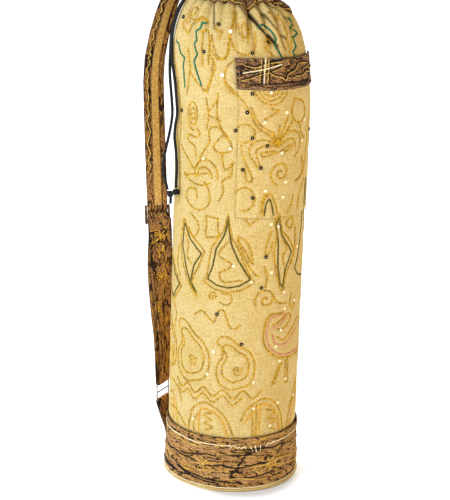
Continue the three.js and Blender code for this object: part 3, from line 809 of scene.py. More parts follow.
sew("gold",
    spiral(25, 505, 46, 46, 4.2, 0), "-13,510 -2,494 5,480 12,460 25,446 31,434",
    beside(trail("5,480 12,460 25,446 31,434"), 4), corners("31,434 41,468"), corners("32,434 46,462"),
    corners("31,434 27,452"), corners("31,434 33,458"), "49,489 60,483 65,468 57,458 48,464 45,477 49,489",
    "57,458 59,446 66,438", "31,434 22,436 13,432 13,424 17,410", "31,437 17,443 8,437 7,428 14,411",
    "32,427 18,423 17,427 29,429", "33,440 43,450 55,446 58,430 52,419", "34,434 42,441 49,440 52,430",
    "35,428 47,434 48,431 36,426", spiral(36, 402, 30, 30, 1.6, 40), oval(3, 451, 22, 22, 160, -290),
    "0,436 1,428 5,414 10,395 7,393 3,408", oval(4, 372, 24, 28, 150, -260), "78,470 74,440 70,412 66,394",
    "62,416 66,404 62,392 55,388", "52,372 50,360 44,352", "70,386 62,372 60,352", "22,378 19,366 21,352")
print("gold paths:", len(sewn["gold"]))

# %% The olive row of triangles and diamonds
triangle = corners("-9,346 -12,326 -19,308 -21,290 -26,270 -17,264 -8,262 3,265 12,273 0,298 -6,318 "
                   "-9,346")
diamond = corners("37,346 34,338 37,318 38,284 41,264 45,258 47,280 55,300 41,324 37,346")
half_diamond = corners("-55,330 -57,304 -49,272 -44,260 -37,250 -44,262 -41,282 -33,300 -46,314 "
                       "-54,330")
edge_triangle = corners("76,384 74,330 68,292 62,276 70,266 86,259 96,270 86,310 76,384")
edge_diamond = corners("-82,280 -72,262 -61,252 -75,231 -88,240 -82,280")
sew("olive",
    triangle, diamond, half_diamond, edge_triangle, edge_diamond, "22,352 23,364 25.5,371 28,364 30,352")
sew("gold",
    around(triangle, 6), around(diamond, 6), around(half_diamond, 6), around(edge_diamond, 5),
    "18,352 20,366 25.5,378 31,366 34,353", "-9,318 -16,302 -4,290 -15,279 -13,270 4,272",
    corners("-18,346 -29,348 -28,336 -30,328 -28,321 -17,324 -18,346"),
    "-46,346 -38,338 -37,326 -42,318 -48,328", "-1,326 6,322 12,306 13,292 7,306 -1,326",
    "0,320 8,296 15,280 20,276", "30,330 26,316 25,302 28,304 31,318", "24,288 27,276 26,262",
    "43,318 48,306 44,298 45,286", "-52,318 -48,304 -50,292 -44,284", "52,346 56,336 51,330 46,338 52,346",
    "60,330 60,304 55,284", "16,348 10,341 6,348", "-64,300 -66,280 -60,262")
print("olive paths:", len(sewn["olive"]))

# %% Curls, waves and arches on the lower tube
sew("gold",
    spiral(27, 246, 30, 30, 1.5, 30), "33,252 40,240 50,236", spiral(-20, 250, 12, 12, 1.4),
    "-12,254 -5,254 -4,244 -9,240 -14,243",
    "-38,222 -31,229 -25,224 -19,217 -14,233 -10,232 -5,214 -1,210 4,216", "58,246 56,232 62,226 64,240",
    "-74,226 -66,214 -69,196", "-74,126 -60,120 -52,104", "-74,90 -58,88 -46,74", "-76,170 -70,156 -73,140")
PAISLEY = np.array([
    (0.0, -0.5), (0.38, -0.38), (0.5, -0.06), (0.36, 0.22), (0.08, 0.36), (-0.14, 0.5), (-0.38, 0.5),
    (-0.45, 0.38), (-0.36, 0.33), (-0.3, 0.15), (-0.45, -0.08), (-0.4, -0.36), (-0.14, -0.5), (0.0, -0.5),
])


def paisley(azimuth, along, width, tall):
    """A curled leaf, turned over where its width is less than nothing."""
    return trail([(azimuth + x * width * MM / ARC, along + y * tall) for x, y in PAISLEY])


for azimuth, along, width, tall in ((-42, 172, 56, 74), (1, 166, 50, 66), (-76, 170, 34, 60)):
    for inset in (0, 20):
        shrink = 1 - inset / tall
        sew("gold", paisley(azimuth, along, width * shrink, tall * shrink))
    sew("gold", spiral(azimuth + 2, along - 8, 0.24 * abs(width), 0.24 * tall, 1.5, 200))
sew("gold",
    "-60,132 -52,124 -44,132 -36,122 -27,132 -18,122 -9,132 0,121 9,131 18,121 26,130",
    "-58,124 -52,116 -44,124 -36,114 -27,124 -18,114 -9,124 0,113 8,122")
sew("pink",
    "48,223 33,221 29,206 31,189 41,175 52,170 84,168", "34,208 46,213 52,221",
    "35,199 38,189 49,184 62,192 82,204")
sew("gold",
    "53,231 45,226 31,225 26,206 28,187 40,171 52,166 80,163", "36,212 44,216 54,222 58,216 46,204 40,206",
    "40,196 48,190 60,200 76,214", corners("45,160 37,136"), corners("47,160 39,136"),
    corners("53,162 54,132 57,132 56,162"), "74,126 68,108 62,96", "78,130 72,110")
print("paths in all:", sum(len(kept) for kept in sewn.values()))

# %% Half circles above the band
sew("gold",
    "-42,68 -41,86 -37,102 -26,112 -16,108 -6,96 2,70", "-35,68 -36,84 -32,96",
    "-18,100 -26,96 -18,91 -25,86 -17,82 -24,77", "8,92 14,108 28,119 40,112 49,94 53,68",
    corners("18,110 19,70"), corners("22,112 22,70"), "32,104 42,98 34,92 43,88 35,82 41,76",
    "58,68 62,88 70,104 80,110", "-78,104 -70,108 -62,96 -58,70")
sew("bright",
    "-30,68 -31,88 -28,104 -18,102 -9,92 -3,70", "12,90 18,104 28,112 38,106 45,92 48,68",
    corners("26,112 25,96 25,70"), "64,68 68,86 78,100", "-74,96 -68,98 -66,70")
print("threads:", {name: len(kept) for name, kept in sewn.items()})

# %% Clip the paths and lift them onto the cloth
SHORTEST_RUN = 5


def visible_runs(path):
    """The stretches of a path that no brown cloth covers."""
    azimuth, along = path[:, 0] / ARC, path[:, 1]
    open_places = ~is_covered(azimuth, along)
    breaks = np.flatnonzero(np.diff(open_places.astype(int))) + 1
    runs = np.split(np.arange(len(path)), breaks)
    return [path[run] for run in runs if open_places[run[0]] and len(run) >= SHORTEST_RUN]


def laid_on(face, path, height):
    """Places at a height above a cloth whose face is a function, and the way out from it."""
    azimuth, along = path[:, 0] / ARC, path[:, 1]
    return bag_point(azimuth, along, face(azimuth, along) + height), bag_normal(azimuth, along)


thread_runs = {name: [run for path in kept for run in visible_runs(path)] for name, kept in sewn.items()}
all_runs = [run for kept in thread_runs.values() for run in kept]
thread_tree_points = np.concatenate([laid_on(cloth_face, run, 0.0)[0] for run in all_runs])
thread_tree = KDTree(len(thread_tree_points))
for number, point in enumerate(thread_tree_points):
    thread_tree.insert(point, number)
thread_tree.balance()


def thread_distance(points):
    """How far each point is from the nearest thread."""
    flat = points.reshape(-1, 3)
    return np.array([thread_tree.find(point)[2] for point in flat]).reshape(points.shape[:-1])


def pucker(distance):
    """Cloth is drawn in under a thread and swells a little on either side of it."""
    return (0.4 * bell(distance - 5.5 * MM, 2.6 * MM) - 0.8 * bell(distance, 2.0 * MM)) * MM


print("thread points:", len(thread_tree_points))

# %% [markdown]
# ## Straw cloth
# The ground is a coarse plain weave in straw-coloured cotton, with thicker yarns here and there, a
# little orange painted shade next to each thread, and painted shade as dark lines in the sharp folds.
# The UV map is in metres, so warp and weft are sine waves of it, and stretched noise makes the slubs.

# %% Straw cloth finish
STRAW_YARN = 1.5 * MM


def woven(start, pitch):
    """Heights of a plain weave, and the UV map that it follows."""
    uv = start.node("ShaderNodeUVMap", uv_map="cloth")
    split = start.node("ShaderNodeSeparateXYZ", {0: uv})
    warp, weft = ((split.out(axis) * (2 * math.pi / pitch)).sine() for axis in "XY")
    return warp * weft * 0.5 + 0.5, uv


def slubs(uv, across, along, scale, detail=3.0):
    """Noise drawn out along one direction of the cloth."""
    stretched = uv.node("ShaderNodeMapping", {"Vector": uv, "Scale": (across, along, 1.0)})
    return stretched.noise(scale, detail)


def straw_cloth_finish():
    material, start, shader = new_finish("straw_cotton", Roughness=0.95, Specular_IOR_Level=0.12)
    weave, uv = woven(start, STRAW_YARN)
    yarns = slubs(uv, 1.0, 0.14, 560.0) * 0.5 + slubs(uv, 0.14, 1.0, 560.0) * 0.5
    flecks = uv.noise(620.0, 2.0)
    patches = uv.noise(26.0, 4.0)
    ground = patches.step(0.3, 0.72).mix(rgba(218, 198, 137), rgba(209, 186, 115))
    streaked = (yarns.step(0.42, 0.6) * 0.5).mix(ground, rgba(190, 156, 80))
    flecked = (flecks.step(0.5, 0.68) * 0.4).mix(streaked, rgba(164, 122, 56))
    lit = ((1 - flecks.step(0.32, 0.46)) * 0.5).mix(flecked, rgba(250, 236, 190))
    # Painted shade: the cloth next to each thread is tinted a darker orange.
    thread_shaded = (start.mark("near_thread") * 0.12).mix(lit, rgba(190, 148, 44))
    crossed = ((1 - weave) * 0.2).mix(thread_shaded, rgba(158, 118, 50))
    # Painted shade: dark lines in the sharp folds and along the pocket's sewn edges.
    feed(shader, "Base Color", start.mark("soil").mix(crossed, rgba(40, 24, 12)))
    feed_bump(shader, weave * 0.6 + yarns * 1.4 + flecks * 0.5, 0.6 * MM, 0.9)
    return material


straw_cloth = straw_cloth_finish()
print("finish:", straw_cloth.name)

# %% [markdown]
# ## Body
# The tube is one piece of cloth, sewn up and drawn in at the top. A cylinder with a displacement
# texture would not know where the stitches are. Here the rows and columns are fine enough for the
# gathers and for the puckers along every thread, and an inner wall closes the shell.

# %% Columns and painted fold shade
def round_columns(count):
    """Even azimuths round the bag."""
    return np.arange(count) * 360 / count


def girth(count):
    """Metres of cloth round the tube up to each column, and up to the first one again."""
    return np.arange(count + 1) * 360 / count * ARC


def painted_fold_shade(azimuth, along):
    """Painted shade as dark lines in the sharp folds, wider and darker where a fold is deep."""
    lines = []
    for reach, path in DEEP_FOLDS:
        width = (0.9 + 0.3 * reach) * MM
        lines.append(min(1, reach / 2.4) * np.exp(-((fold_distance(azimuth, along, path) / width) ** 4)))
    return np.max(lines, 0)


print("round the tube it is", round(girth(4)[-1], 4), "m")

# %% Body cloth
BODY_COLUMNS, BODY_ROWS, BODY_INNER_ROWS = 320, 280, 14
BODY_FOOT = 2.3 * MM
BODY_CLOTH = 2.0 * MM
BODY_LENGTH = 0.605
CASING_LAP = 7 * CLIMB_LENGTH
SINK = 0.9 * MM
THREAD_SHADE_WIDTH = 1.7 * MM


def body_shell():
    azimuth = round_columns(BODY_COLUMNS)
    top = casing_edge(azimuth) + CASING_LAP
    share = np.linspace(0, 1, BODY_ROWS)[:, None]
    inner_share = np.linspace(1, 0, BODY_INNER_ROWS)[:, None]
    along = BODY_FOOT + (top - BODY_FOOT) * share
    inner_along = BODY_FOOT + (top - BODY_FOOT) * inner_share
    hidden = is_covered(azimuth, along) | within(azimuth, along, POCKET_FOOT, POCKET_HEAD)
    distance = thread_distance(bag_point(azimuth, along))
    outer = bag_point(azimuth, along, np.where(hidden, -SINK, pucker(distance)))
    inner = bag_point(azimuth, inner_along, -BODY_CLOTH - SINK)
    near = np.where(hidden, 0, bell(distance, THREAD_SHADE_WIDTH))
    blank = np.zeros(inner.shape[:2])
    marks = {"near_thread": np.concatenate([near, blank]),
             "soil": np.concatenate([painted_fold_shade(azimuth, along), blank])}
    heights = np.concatenate([share, inner_share, share[:1]])[:, 0] * BODY_LENGTH
    return loft(np.concatenate([outer, inner]), True, girth(BODY_COLUMNS), heights, marks)


body = add_shells("body_cloth", [body_shell()], straw_cloth, "straw_cloth", "body_tube", "body_top")

# %% [markdown]
# ## Pocket
# The patch pocket is a second layer, turned in at its edges, sewn down its left side and along its
# foot, and slack at its mouth. It could be cut out of the body's mesh, but a pocket that opens has
# an edge and a shadow of its own, so it is a thin closed sheet that stands off the tube.

# %% Sheets over the pocket
PATCH_STEP = 1.25


def patch_shell(foot, head, step, face_at, cloth, marks_at):
    """A sheet over the pocket's columns between two heights: a face, a back, and closed edges."""
    azimuth = np.arange(POCKET_LEFT, POCKET_RIGHT + 0.01, PATCH_STEP)[:, None]
    share = np.linspace(0, 1, round((head - foot) / step) + 1)[None, :]
    low, high = float(along_at(foot)), float(along_at(head))
    along = low + (high - low) * share - POCKET_DROP * pocket_share(azimuth)
    columns = np.broadcast_to(azimuth, along.shape)
    out, marks = face_at(columns, along), marks_at(columns, along)
    face, back = bag_point(columns, along, out), bag_point(columns, along, out - cloth)
    rings = np.concatenate([face, back[:, ::-1]], 1)
    both = {name: np.concatenate([mark, mark[:, ::-1]], 1) for name, mark in marks.items()}
    us = np.concatenate([share[0], share[0, ::-1], share[0, :1]]) * (head - foot)
    shell = loft(rings, False, us, azimuth[:, 0] * ARC, both)
    shell["uv"] = shell["uv"][..., ::-1]
    return shell


print("columns of a sheet:", round((POCKET_RIGHT - POCKET_LEFT) / PATCH_STEP) + 1)

# %% Pocket panel
EDGE_TURN = 7.0 * MM
SEAM_WIDTH = 1.7 * MM


def pocket_inset(azimuth, along):
    """How far a place on the pocket lies from its nearest sewn edge."""
    share = pocket_share(azimuth)
    side = np.minimum(share, 1 - share) * (POCKET_RIGHT - POCKET_LEFT) * ARC
    return np.minimum(side, along - (POCKET_FOOT - POCKET_DROP * share))


def pocket_thread(azimuth, along):
    """How far places on the pocket are from the nearest thread."""
    return thread_distance(bag_point(azimuth, along, pocket_face(azimuth, along)))


def edge_ridge(azimuth, along):
    """The turned-in edge of the pocket is two layers thick, and its seam draws it down."""
    inset = pocket_inset(azimuth, along)
    turned = 1 - ramp(inset - EDGE_TURN, 1.5 * MM)
    return 0.35 * MM * turned - 0.9 * MM * np.clip(1 - inset / SEAM_WIDTH, 0, 1)


def pocket_outer(azimuth, along):
    raised = pocket_face(azimuth, along) + pucker(pocket_thread(azimuth, along))
    return raised + edge_ridge(azimuth, along)


def pocket_marks(azimuth, along):
    # Painted shade along the pocket's sewn edges, strongest along its foot.
    dirt_and_painted_seam_shade = np.where(along < POCKET_FOOT + 2 * MM, 0.32, 0.06)
    seam = dirt_and_painted_seam_shade * np.clip(1 - pocket_inset(azimuth, along) / SEAM_WIDTH, 0, 1)
    return {"near_thread": bell(pocket_thread(azimuth, along), THREAD_SHADE_WIDTH), "soil": seam}


pocket_shell = patch_shell(POCKET_FOOT, POCKET_HEAD, 2.0 * MM, pocket_outer, POCKET_CLOTH, pocket_marks)
pocket = add_shells("pocket_cloth", [pocket_shell], straw_cloth, "straw_cloth", "pocket_panel")

# %% [markdown]
# ## Base and piping
# The bag stands on a round panel. A pale piping covers the seam and shows below the band as a
# slightly wavy line, because it was sewn by hand. A torus would be too even, so both its circle and
# its thickness change a little on the way round.

# %% Base panel and piping
BASE_RADIUS = 80.2 * MM
BASE_COLUMNS = 120
BASE_UNDER = [(0.02, 0.6), (0.35, 0.6), (0.7, 0.5), (0.9, 0.2), (0.97, 0.0), (1.0, 0.5)]
BASE_OVER = [(1.0, 1.7), (0.98, 2.0), (0.9, 2.0), (0.4, 2.0), (0.02, 2.0)]
PIPING_COLUMNS, PIPING_SIDES = 240, 12
PIPING_CIRCLE = 82.6 * MM
PIPING_RADIUS = 1.75 * MM
PIPING_HEIGHT = 2.1 * MM
PIPING_LOWEST = 0.05 * MM


def ring_points(azimuth, reach, height):
    """Points round the bag's axis at distances and heights."""
    turn = np.radians(azimuth)
    return np.stack(np.broadcast_arrays(reach * np.sin(turn), -reach * np.cos(turn), height), -1)


def base_shell():
    azimuth = round_columns(BASE_COLUMNS)
    profile = BASE_UNDER + BASE_OVER
    rings = [ring_points(azimuth, share * BASE_RADIUS, height * MM) for share, height in profile]
    spread = [share for share, _ in BASE_UNDER] + [2 - share for share, _ in BASE_OVER]
    return loft(rings, False, girth(BASE_COLUMNS), np.array(spread) * BASE_RADIUS)


def piping_shell():
    azimuth = round_columns(PIPING_COLUMNS)[:, None]
    wave = cloth_noise(azimuth / 12, 0.5, 31, 30)
    radius = PIPING_RADIUS * (1 + 0.14 * cloth_noise(azimuth / 5, 0.5, 32, 72))
    section = np.radians(round_columns(PIPING_SIDES))
    reach = PIPING_CIRCLE + 0.35 * MM * wave + radius * np.cos(section)
    rise = PIPING_HEIGHT + 0.3 * MM * (1 + wave) + radius * np.sin(section)
    rings = ring_points(azimuth, reach, np.maximum(rise, PIPING_LOWEST))
    return loft(rings, True, np.arange(PIPING_SIDES + 1) * MM, girth(PIPING_COLUMNS))


add_shells("base_cloth", [base_shell()], straw_cloth, "straw_cloth", "base_panel")
add_shells("base_piping_cloth", [piping_shell()], straw_cloth, "straw_cloth", "base_piping")

# %% [markdown]
# ## Brown patchwork cloth
# The band, trim, casing, strap and tab are sewn from dark brown cloth, crumpled and over-dyed, with
# painted shade as dark lines in the creases, and pale flecks. A noise texture alone would stay flat under
# a grazing light, so the creases are moved into the mesh, and the finish paints shade by how deep each one
# is.

# %% Brown cloth finish
BROWN_YARN = 1.3 * MM


def crumple(u, v, seed, columns=64):
    """Heights and crease marks of crumpled cloth, where u and v count cells along and across it."""
    wide = np.abs(cloth_noise(u, v, seed, columns))
    fine = np.abs(cloth_noise(2 * u, 2 * v, seed + 1, 2 * columns))
    crease = np.clip(1 - ramp(wide, 0.13) + 0.7 * (1 - ramp(fine, 0.16)), 0, 1)
    return 0.8 * wide + 0.35 * fine - 0.5 * crease, crease


def level_line(noise, level, half):
    """A line of even width where a noise passes a level."""
    return noise.step(level - half, level - half / 3) * (1 - noise.step(level + half / 3, level + half))


def brown_cloth_finish(name, low, high, yellow):
    """Mottled cloth between two colours, with dark furrows of painted shade and a share of yellow lines."""
    material, start, shader = new_finish(name, Roughness=0.9, Specular_IOR_Level=0.15)
    weave, uv = woven(start, BROWN_YARN)
    blotches = uv.noise(60.0, 4.0)
    flecks = uv.noise(700.0, 2.0)
    wear_and_painted_light = uv.noise(42.0, 1.0)
    wide = slubs(uv, 0.24, 1.0, 130.0, 1.5)
    close = slubs(uv, 0.36, 1.0, 210.0, 1.0)
    furrows = level_line(wide, 0.5, 0.035) * wear_and_painted_light.step(0.25, 0.45) + level_line(close, 0.47, 0.03) * 0.8
    dyed = blotches.step(0.34, 0.66).mix(low, high)
    # Painted light: this mark lightens the strap and tab low down and near the top; on the band it is a faded
    # patch of the cloth.
    ground = (start.mark("fade_and_painted_light") * 0.7).mix(dyed, rgba(236, 164, 86))
    pale = ((1 - flecks.step(0.36, 0.48)) * 0.55).mix(ground, rgba(236, 194, 136))
    flecked = (flecks.step(0.5, 0.62) * 0.7).mix(pale, rgba(62, 38, 20))
    # Painted shade: the furrows are dark lines where the bump dents the cloth.
    furrow_shaded = (furrows.step(0, 1) * 0.95).mix(flecked, rgba(24, 16, 12))
    gilt = level_line(wide, 0.56, 0.022) + level_line(close, 0.525, 0.02) * (1 - wear_and_painted_light.step(0.5, 0.64))
    gilded = (gilt.step(0, 1) * yellow).mix(furrow_shaded, rgba(222, 172, 62))
    # Painted shade: the crease mark darkens creases, sunk edges and hidden insides.
    painted_crease_shade = (start.mark("crease").step(0.3, 0.9) * 0.85).mix(gilded, rgba(28, 18, 12))
    feed(shader, "Base Color", ((1 - weave) * 0.2).mix(painted_crease_shade, rgba(50, 30, 16)))
    feed_bump(shader, weave * 0.4 + flecks - furrows * 0.5, 0.7 * MM, 0.9)
    return material


brown_cloth = brown_cloth_finish("brown_patchwork", rgba(158, 112, 66), rgba(204, 158, 104), 0.65)
# Painted shade, in part: the dark copy for the trim and casing is a darker brown of their own, made darker
# still because the trim faces the light.
dark_cloth = brown_cloth_finish("dark_brown_patchwork", rgba(116, 80, 56), rgba(158, 114, 80), 0.3)
strap_cloth = brown_cloth_finish("brown_strap_cloth", rgba(114, 66, 34), rgba(158, 100, 56), 0.45)
print("finishes:", brown_cloth.name, dark_cloth.name, strap_cloth.name)

# %% [markdown]
# ## Band round the foot
# The band is a strip of the brown cloth, hemmed along its top and drawn over the foot of the tube.
# It flares a little where it meets the floor. Its rows are a millimetre apart, so that a crease is
# a dent in the cloth and not only a line of painted shade.

# %% Foot band
BAND_COLUMNS, BAND_ROWS, BAND_INNER_ROWS = 400, 72, 6
BAND_CLOTH = 1.6 * MM
BAND_FLARE = 1.0 * MM
BAND_HEM = BAND_HEAD - 6.0 * MM
BAND_CELLS, BAND_CELL_HEIGHT = 17, 5.2 * MM
GROOVE_WIDTH = 0.9 * MM
HEM_ROLL = 1.2 * MM
FADED_AZIMUTH, FADED_WIDTH = -52, 24


def band_relief(azimuth, along):
    sway = 0.35 * cloth_noise(azimuth / 24, along / 0.05, 44, 15)
    cells = azimuth / 360 * BAND_CELLS
    height, crease = crumple(cells, along / BAND_CELL_HEIGHT + sway, 41, BAND_CELLS)
    fade = ramp(BAND_HEAD - along, 2 * MM)
    return MM * (height - 0.3) * fade, crease * fade


def band_face(azimuth, along):
    """How far the band's face stands off the tube, with the rolled hem at its top."""
    flare = BAND_FLARE * (1 - (along - BAND_FOOT) / (BAND_HEAD - BAND_FOOT))
    hem = ramp(along - BAND_HEM, MM) * 0.6 * MM
    groove = 0.7 * MM * bell(along - BAND_HEM, GROOVE_WIDTH)
    roll = HEM_ROLL * ramp(along - BAND_HEAD + HEM_ROLL, HEM_ROLL) ** 2
    wavy = 0.5 * MM * cloth_noise(azimuth / 15, along / 0.03, 43, 24)
    return GAP + BAND_CLOTH + flare + hem - groove - roll + wavy + band_relief(azimuth, along)[0]


def band_shell():
    azimuth = round_columns(BAND_COLUMNS)
    height = np.linspace(BAND_FOOT, BAND_HEAD, BAND_ROWS)[:, None]
    back = np.linspace(BAND_HEAD, BAND_FOOT, BAND_INNER_ROWS)[:, None]
    columns, along = np.broadcast_arrays(azimuth, height)
    outer = bag_point(columns, along, band_face(columns, along))
    inner = bag_point(azimuth, back, GAP)
    # Painted shade, through the crease mark: dark lines in the hem's groove and at the top edge, and the
    # whole inner wall.
    hem_line = 0.6 * bell(along - BAND_HEM, GROOVE_WIDTH)
    top_line = 0.7 * bell(along - BAND_HEAD, 0.8 * MM)
    crease = np.maximum.reduce([band_relief(columns, along)[1] * 0.8, hem_line, top_line])
    fade_and_painted_light = 0.3 * bell(turn_from(columns, FADED_AZIMUTH), FADED_WIDTH)
    blank = np.zeros(inner.shape[:2])
    marks = {"crease": np.concatenate([crease, blank + 1]), "fade_and_painted_light": np.concatenate([fade_and_painted_light, blank])}
    vs = np.concatenate([height, back, height[:1]])[:, 0]
    return loft(np.concatenate([outer, inner]), True, girth(BAND_COLUMNS), vs, marks)


band = add_shells("foot_band_cloth", [band_shell()], brown_cloth, "brown_cloth", "foot_band")

# %% [markdown]
# ## Trim on the pocket
# A strip of the same cloth edges the pocket's mouth, folded over it. It could be a second finish on
# the pocket's own faces, but it is thicker and throws a shadow. So it is laid on the same columns as
# the pocket, a little further out, and the crumple is the same kind with other cells.

# %% Pocket trim
TRIM_CLOTH, TRIM_GAP = 1.2 * MM, 0.5 * MM
TRIM_CELLS, TRIM_CELL_HEIGHT = 6, 5.0 * MM


def trim_relief(azimuth, along):
    share = pocket_share(azimuth)
    height, crease = crumple(share * TRIM_CELLS, along / TRIM_CELL_HEIGHT, 51)
    drop = POCKET_DROP * share
    edge = np.minimum(along - along_at(TRIM_FOOT) + drop, along_at(TRIM_HEAD) - drop - along)
    fade = ramp(edge, 2 * MM)
    raised = 0.9 * MM * (height - 0.2) * fade - 0.5 * MM * (1 - fade)
    # Painted shade along the trim's sunk edges, through the crease mark.
    return raised, np.maximum(crease * fade, 0.8 * (1 - fade))


def trim_face(azimuth, along):
    return pocket_face(azimuth, along) + TRIM_GAP + TRIM_CLOTH + trim_relief(azimuth, along)[0]


def trim_marks(azimuth, along):
    return {"crease": trim_relief(azimuth, along)[1]}


trim_shell = patch_shell(TRIM_FOOT, TRIM_HEAD, 0.9 * MM, trim_face, TRIM_CLOTH, trim_marks)
trim = add_shells("pocket_trim_cloth", [trim_shell], dark_cloth, "brown_cloth", "pocket_trim")

# %% [markdown]
# ## Casing and the cord inside it
# The mouth is a brown casing with a channel for the drawcord. Its inside is hollow, so its section
# is a hook: outer face, rounded lip, inner layer, channel. The two cord ends leave by a slit, which
# a Boolean cuts from the finished shell before the modifier is applied.

# %% Mouth casing
CASING_COLUMNS = 336
CASING_OUT = 2.2 * MM
CASING_SEAT = 0.4 * MM
CASING_INSIDE = -3.8 * MM
CASING_BACK = -5.6 * MM
CHANNEL_FOOT = 60
LOWER_FACE_ROWS = 14
UPPER_FACE_CLIMBS = (62, 64, 66, 68, 70, 72, 74, 76)
CASING_SECTION = (
    (UPPER_FACE_CLIMBS, CASING_OUT), ((78,), 1.4 * MM), ((79,), -0.8 * MM), ((78.4,), -3.6 * MM),
    ((76, 70, 65, 60), CASING_BACK), ((60, 65, 70, 73.5), CASING_INSIDE), ((73.5, 70, 65, 60), CASING_SEAT),
)
CASING_CELLS = 22


def casing_shell():
    azimuth = round_columns(CASING_COLUMNS)
    edge = climb_at(casing_edge(azimuth))
    shares = np.linspace(0, 1, LOWER_FACE_ROWS)
    rows = [(edge + (CHANNEL_FOOT - edge) * share, CASING_OUT) for share in shares]
    rows += [(climb, out) for climbs, out in CASING_SECTION for climb in climbs]
    rows += [(edge + 7, CASING_SEAT), (edge, CASING_SEAT)]
    climbs = np.array([np.broadcast_to(climb, azimuth.shape) for climb, _ in rows])
    outs = np.array([out for _, out in rows])[:, None]
    height, crease = crumple(azimuth / 360 * CASING_CELLS, climbs / 3.4, 61, CASING_CELLS)
    facing = np.arange(len(rows))[:, None] < LOWER_FACE_ROWS + len(UPPER_FACE_CLIMBS)
    from_edge = ramp(climbs - edge, 1.2)
    outs = outs + np.where(facing, 0.7 * MM * (height - 0.2) * from_edge - 0.5 * MM * (1 - from_edge), 0)
    # Painted shade: the crease mark is raised near the casing's edge and over its inner rows.
    marks = {"crease": np.where(facing, np.maximum(crease, 0.7 * (1 - from_edge)), 0.6)}
    rings = bag_point(azimuth, SHOULDER + CLIMB_LENGTH * climbs, outs)
    vs = np.concatenate([climbs[:, 0], climbs[:1, 0]]) * CLIMB_LENGTH
    return loft(rings, True, girth(CASING_COLUMNS), vs, marks)


casing_uncut = shell_mesh("mouth_casing_cloth", casing_shell())
print("casing faces before the cut:", len(casing_uncut.polygons))

# %% Slit in the casing
SLIT_AZIMUTH, SLIT_WIDTH, SLIT_HEAD = -82.5, 9.5 * MM, 68


def slit_cutter():
    turn = math.radians(SLIT_AZIMUTH)
    across = np.array((math.cos(turn), math.sin(turn), 0)) * SLIT_WIDTH / 2
    low = float(casing_edge(SLIT_AZIMUTH)) - 4 * CLIMB_LENGTH
    high = SHOULDER + SLIT_HEAD * CLIMB_LENGTH
    rings = []
    for along in np.linspace(low, high, 6):
        inner, outer = bag_point(SLIT_AZIMUTH, along, -2.4 * MM), bag_point(SLIT_AZIMUTH, along, 10 * MM)
        rings.append([inner - across, outer - across, outer + across, inner + across])
    # The crease mark paints shade on the walls that the cutter leaves in the slit.
    return shell_mesh("slit_cutter", loft(rings, marks={"crease": np.full((6, 4), 0.8)}))


def modified_mesh(target):
    """What an object's modifiers make of it, as a plain mesh."""
    return bpy.data.meshes.new_from_object(target.evaluated_get(bpy.context.evaluated_depsgraph_get()))


def cut_by(mesh, cutter_mesh):
    """A mesh with another cut out of it, as a plain mesh."""
    target = new_object("casing_uncut", mesh)
    cutter = new_object("slit_cutter", cutter_mesh)
    modifier = target.modifiers.new("slit", "BOOLEAN")
    modifier.operation = "DIFFERENCE"
    modifier.solver = "EXACT"
    modifier.object = cutter
    cut = modified_mesh(target)
    for part in (target, cutter):
        bpy.data.objects.remove(part)
    return cut


casing_mesh = cut_by(casing_uncut, slit_cutter())
add_piece("mouth_casing_cloth", casing_mesh, dark_cloth, "brown_cloth", "mouth_casing")

# %% Cord inside the casing
RING_CLIMB, RING_OUT, RING_CORD_RADIUS = 69, -2.15 * MM, 1.1 * MM
ring_azimuth = SLIT_AZIMUTH + np.linspace(6, 354, 330)
ring_route = bag_point(ring_azimuth, SHOULDER + RING_CLIMB * CLIMB_LENGTH, RING_OUT)
ring_cord = braided(ring_route, RING_CORD_RADIUS)
add_shells("drawcord_in_casing", [ring_cord], black_cord, "black_cord", "drawcord_ring")

# %% [markdown]
# ## Shoulder strap
# The strap leaves the casing at the left back, hangs down the side, runs through the three-bar slider,
# round the ring and back up to the slider. A flat curve could carry it, but its turns are uneven.
# Each row of the table gives a place, the way it faces and its width, and the strap follows these.

# %% Strap frame
STRAP_ROWS = np.array([
    (-39, 20, 618.6, 68, 26), (-53, 19, 618.4, 62, 26), (-68, 17.5, 612, 50, 26), (-81, 16, 600, 40, 26),
    (-90.5, 15, 586, 33, 26), (-98, 14, 560, 28, 26), (-105, 13, 530, 25, 26), (-107.6, 12, 500, 23, 26),
    (-106.7, 12, 467, 21, 26), (-103.7, 12, 405, 18, 26), (-101.2, 12, 360, 7, 25.4), (-99.6, 12, 324, 6, 24),
    (-97.8, 13.4, 298, 5, 24), (-97.2, 18, 262, 22, 28), (-95, 28, 210, 42, 29), (-91.4, 39.5, 157, 55, 29),
    (-89.9, 38.8, 96, 64, 27),
])
TAB_ROWS = np.array([
    (-89.3, 38.5, 72, 64, 27), (-85.4, 36.6, 58, 64, 27), (-79.4, 36.8, 40, 64, 26), (-76, 36.8, 25, 64, 26),
    (-74.6, 36.4, 9, 64, 26),
])


def strip_frame(rows, place):
    """The middle, the three directions and the width of a strip at a place along its rows, in millimetres."""
    middle = route_point(rows[:, :3], place)
    low, high = max(place - 0.01, 0), min(place + 0.01, len(rows) - 1)
    along = unit(route_point(rows[:, :3], high) - route_point(rows[:, :3], low))
    degrees, width = (np.interp(place, np.arange(len(rows)), rows[:, k]) for k in (3, 4))
    across = np.array((math.cos(math.radians(degrees)), math.sin(math.radians(degrees)), 0))
    across = unit(across - along * across.dot(along))
    return middle, across, np.cross(across, along), along, width


print("strap rows:", len(STRAP_ROWS), "tab rows:", len(TAB_ROWS))

# %% Stops along the strap
SLIDER_ROW, RING_ROW = 11, 16
BAR_WRAP = 2.3


def run_stops(start, end, count, depth):
    """Stops along a strip: a place, how deep it lies behind its middle, and a drop."""
    return [(place, depth, 0.0) for place in np.linspace(start, end, count)]


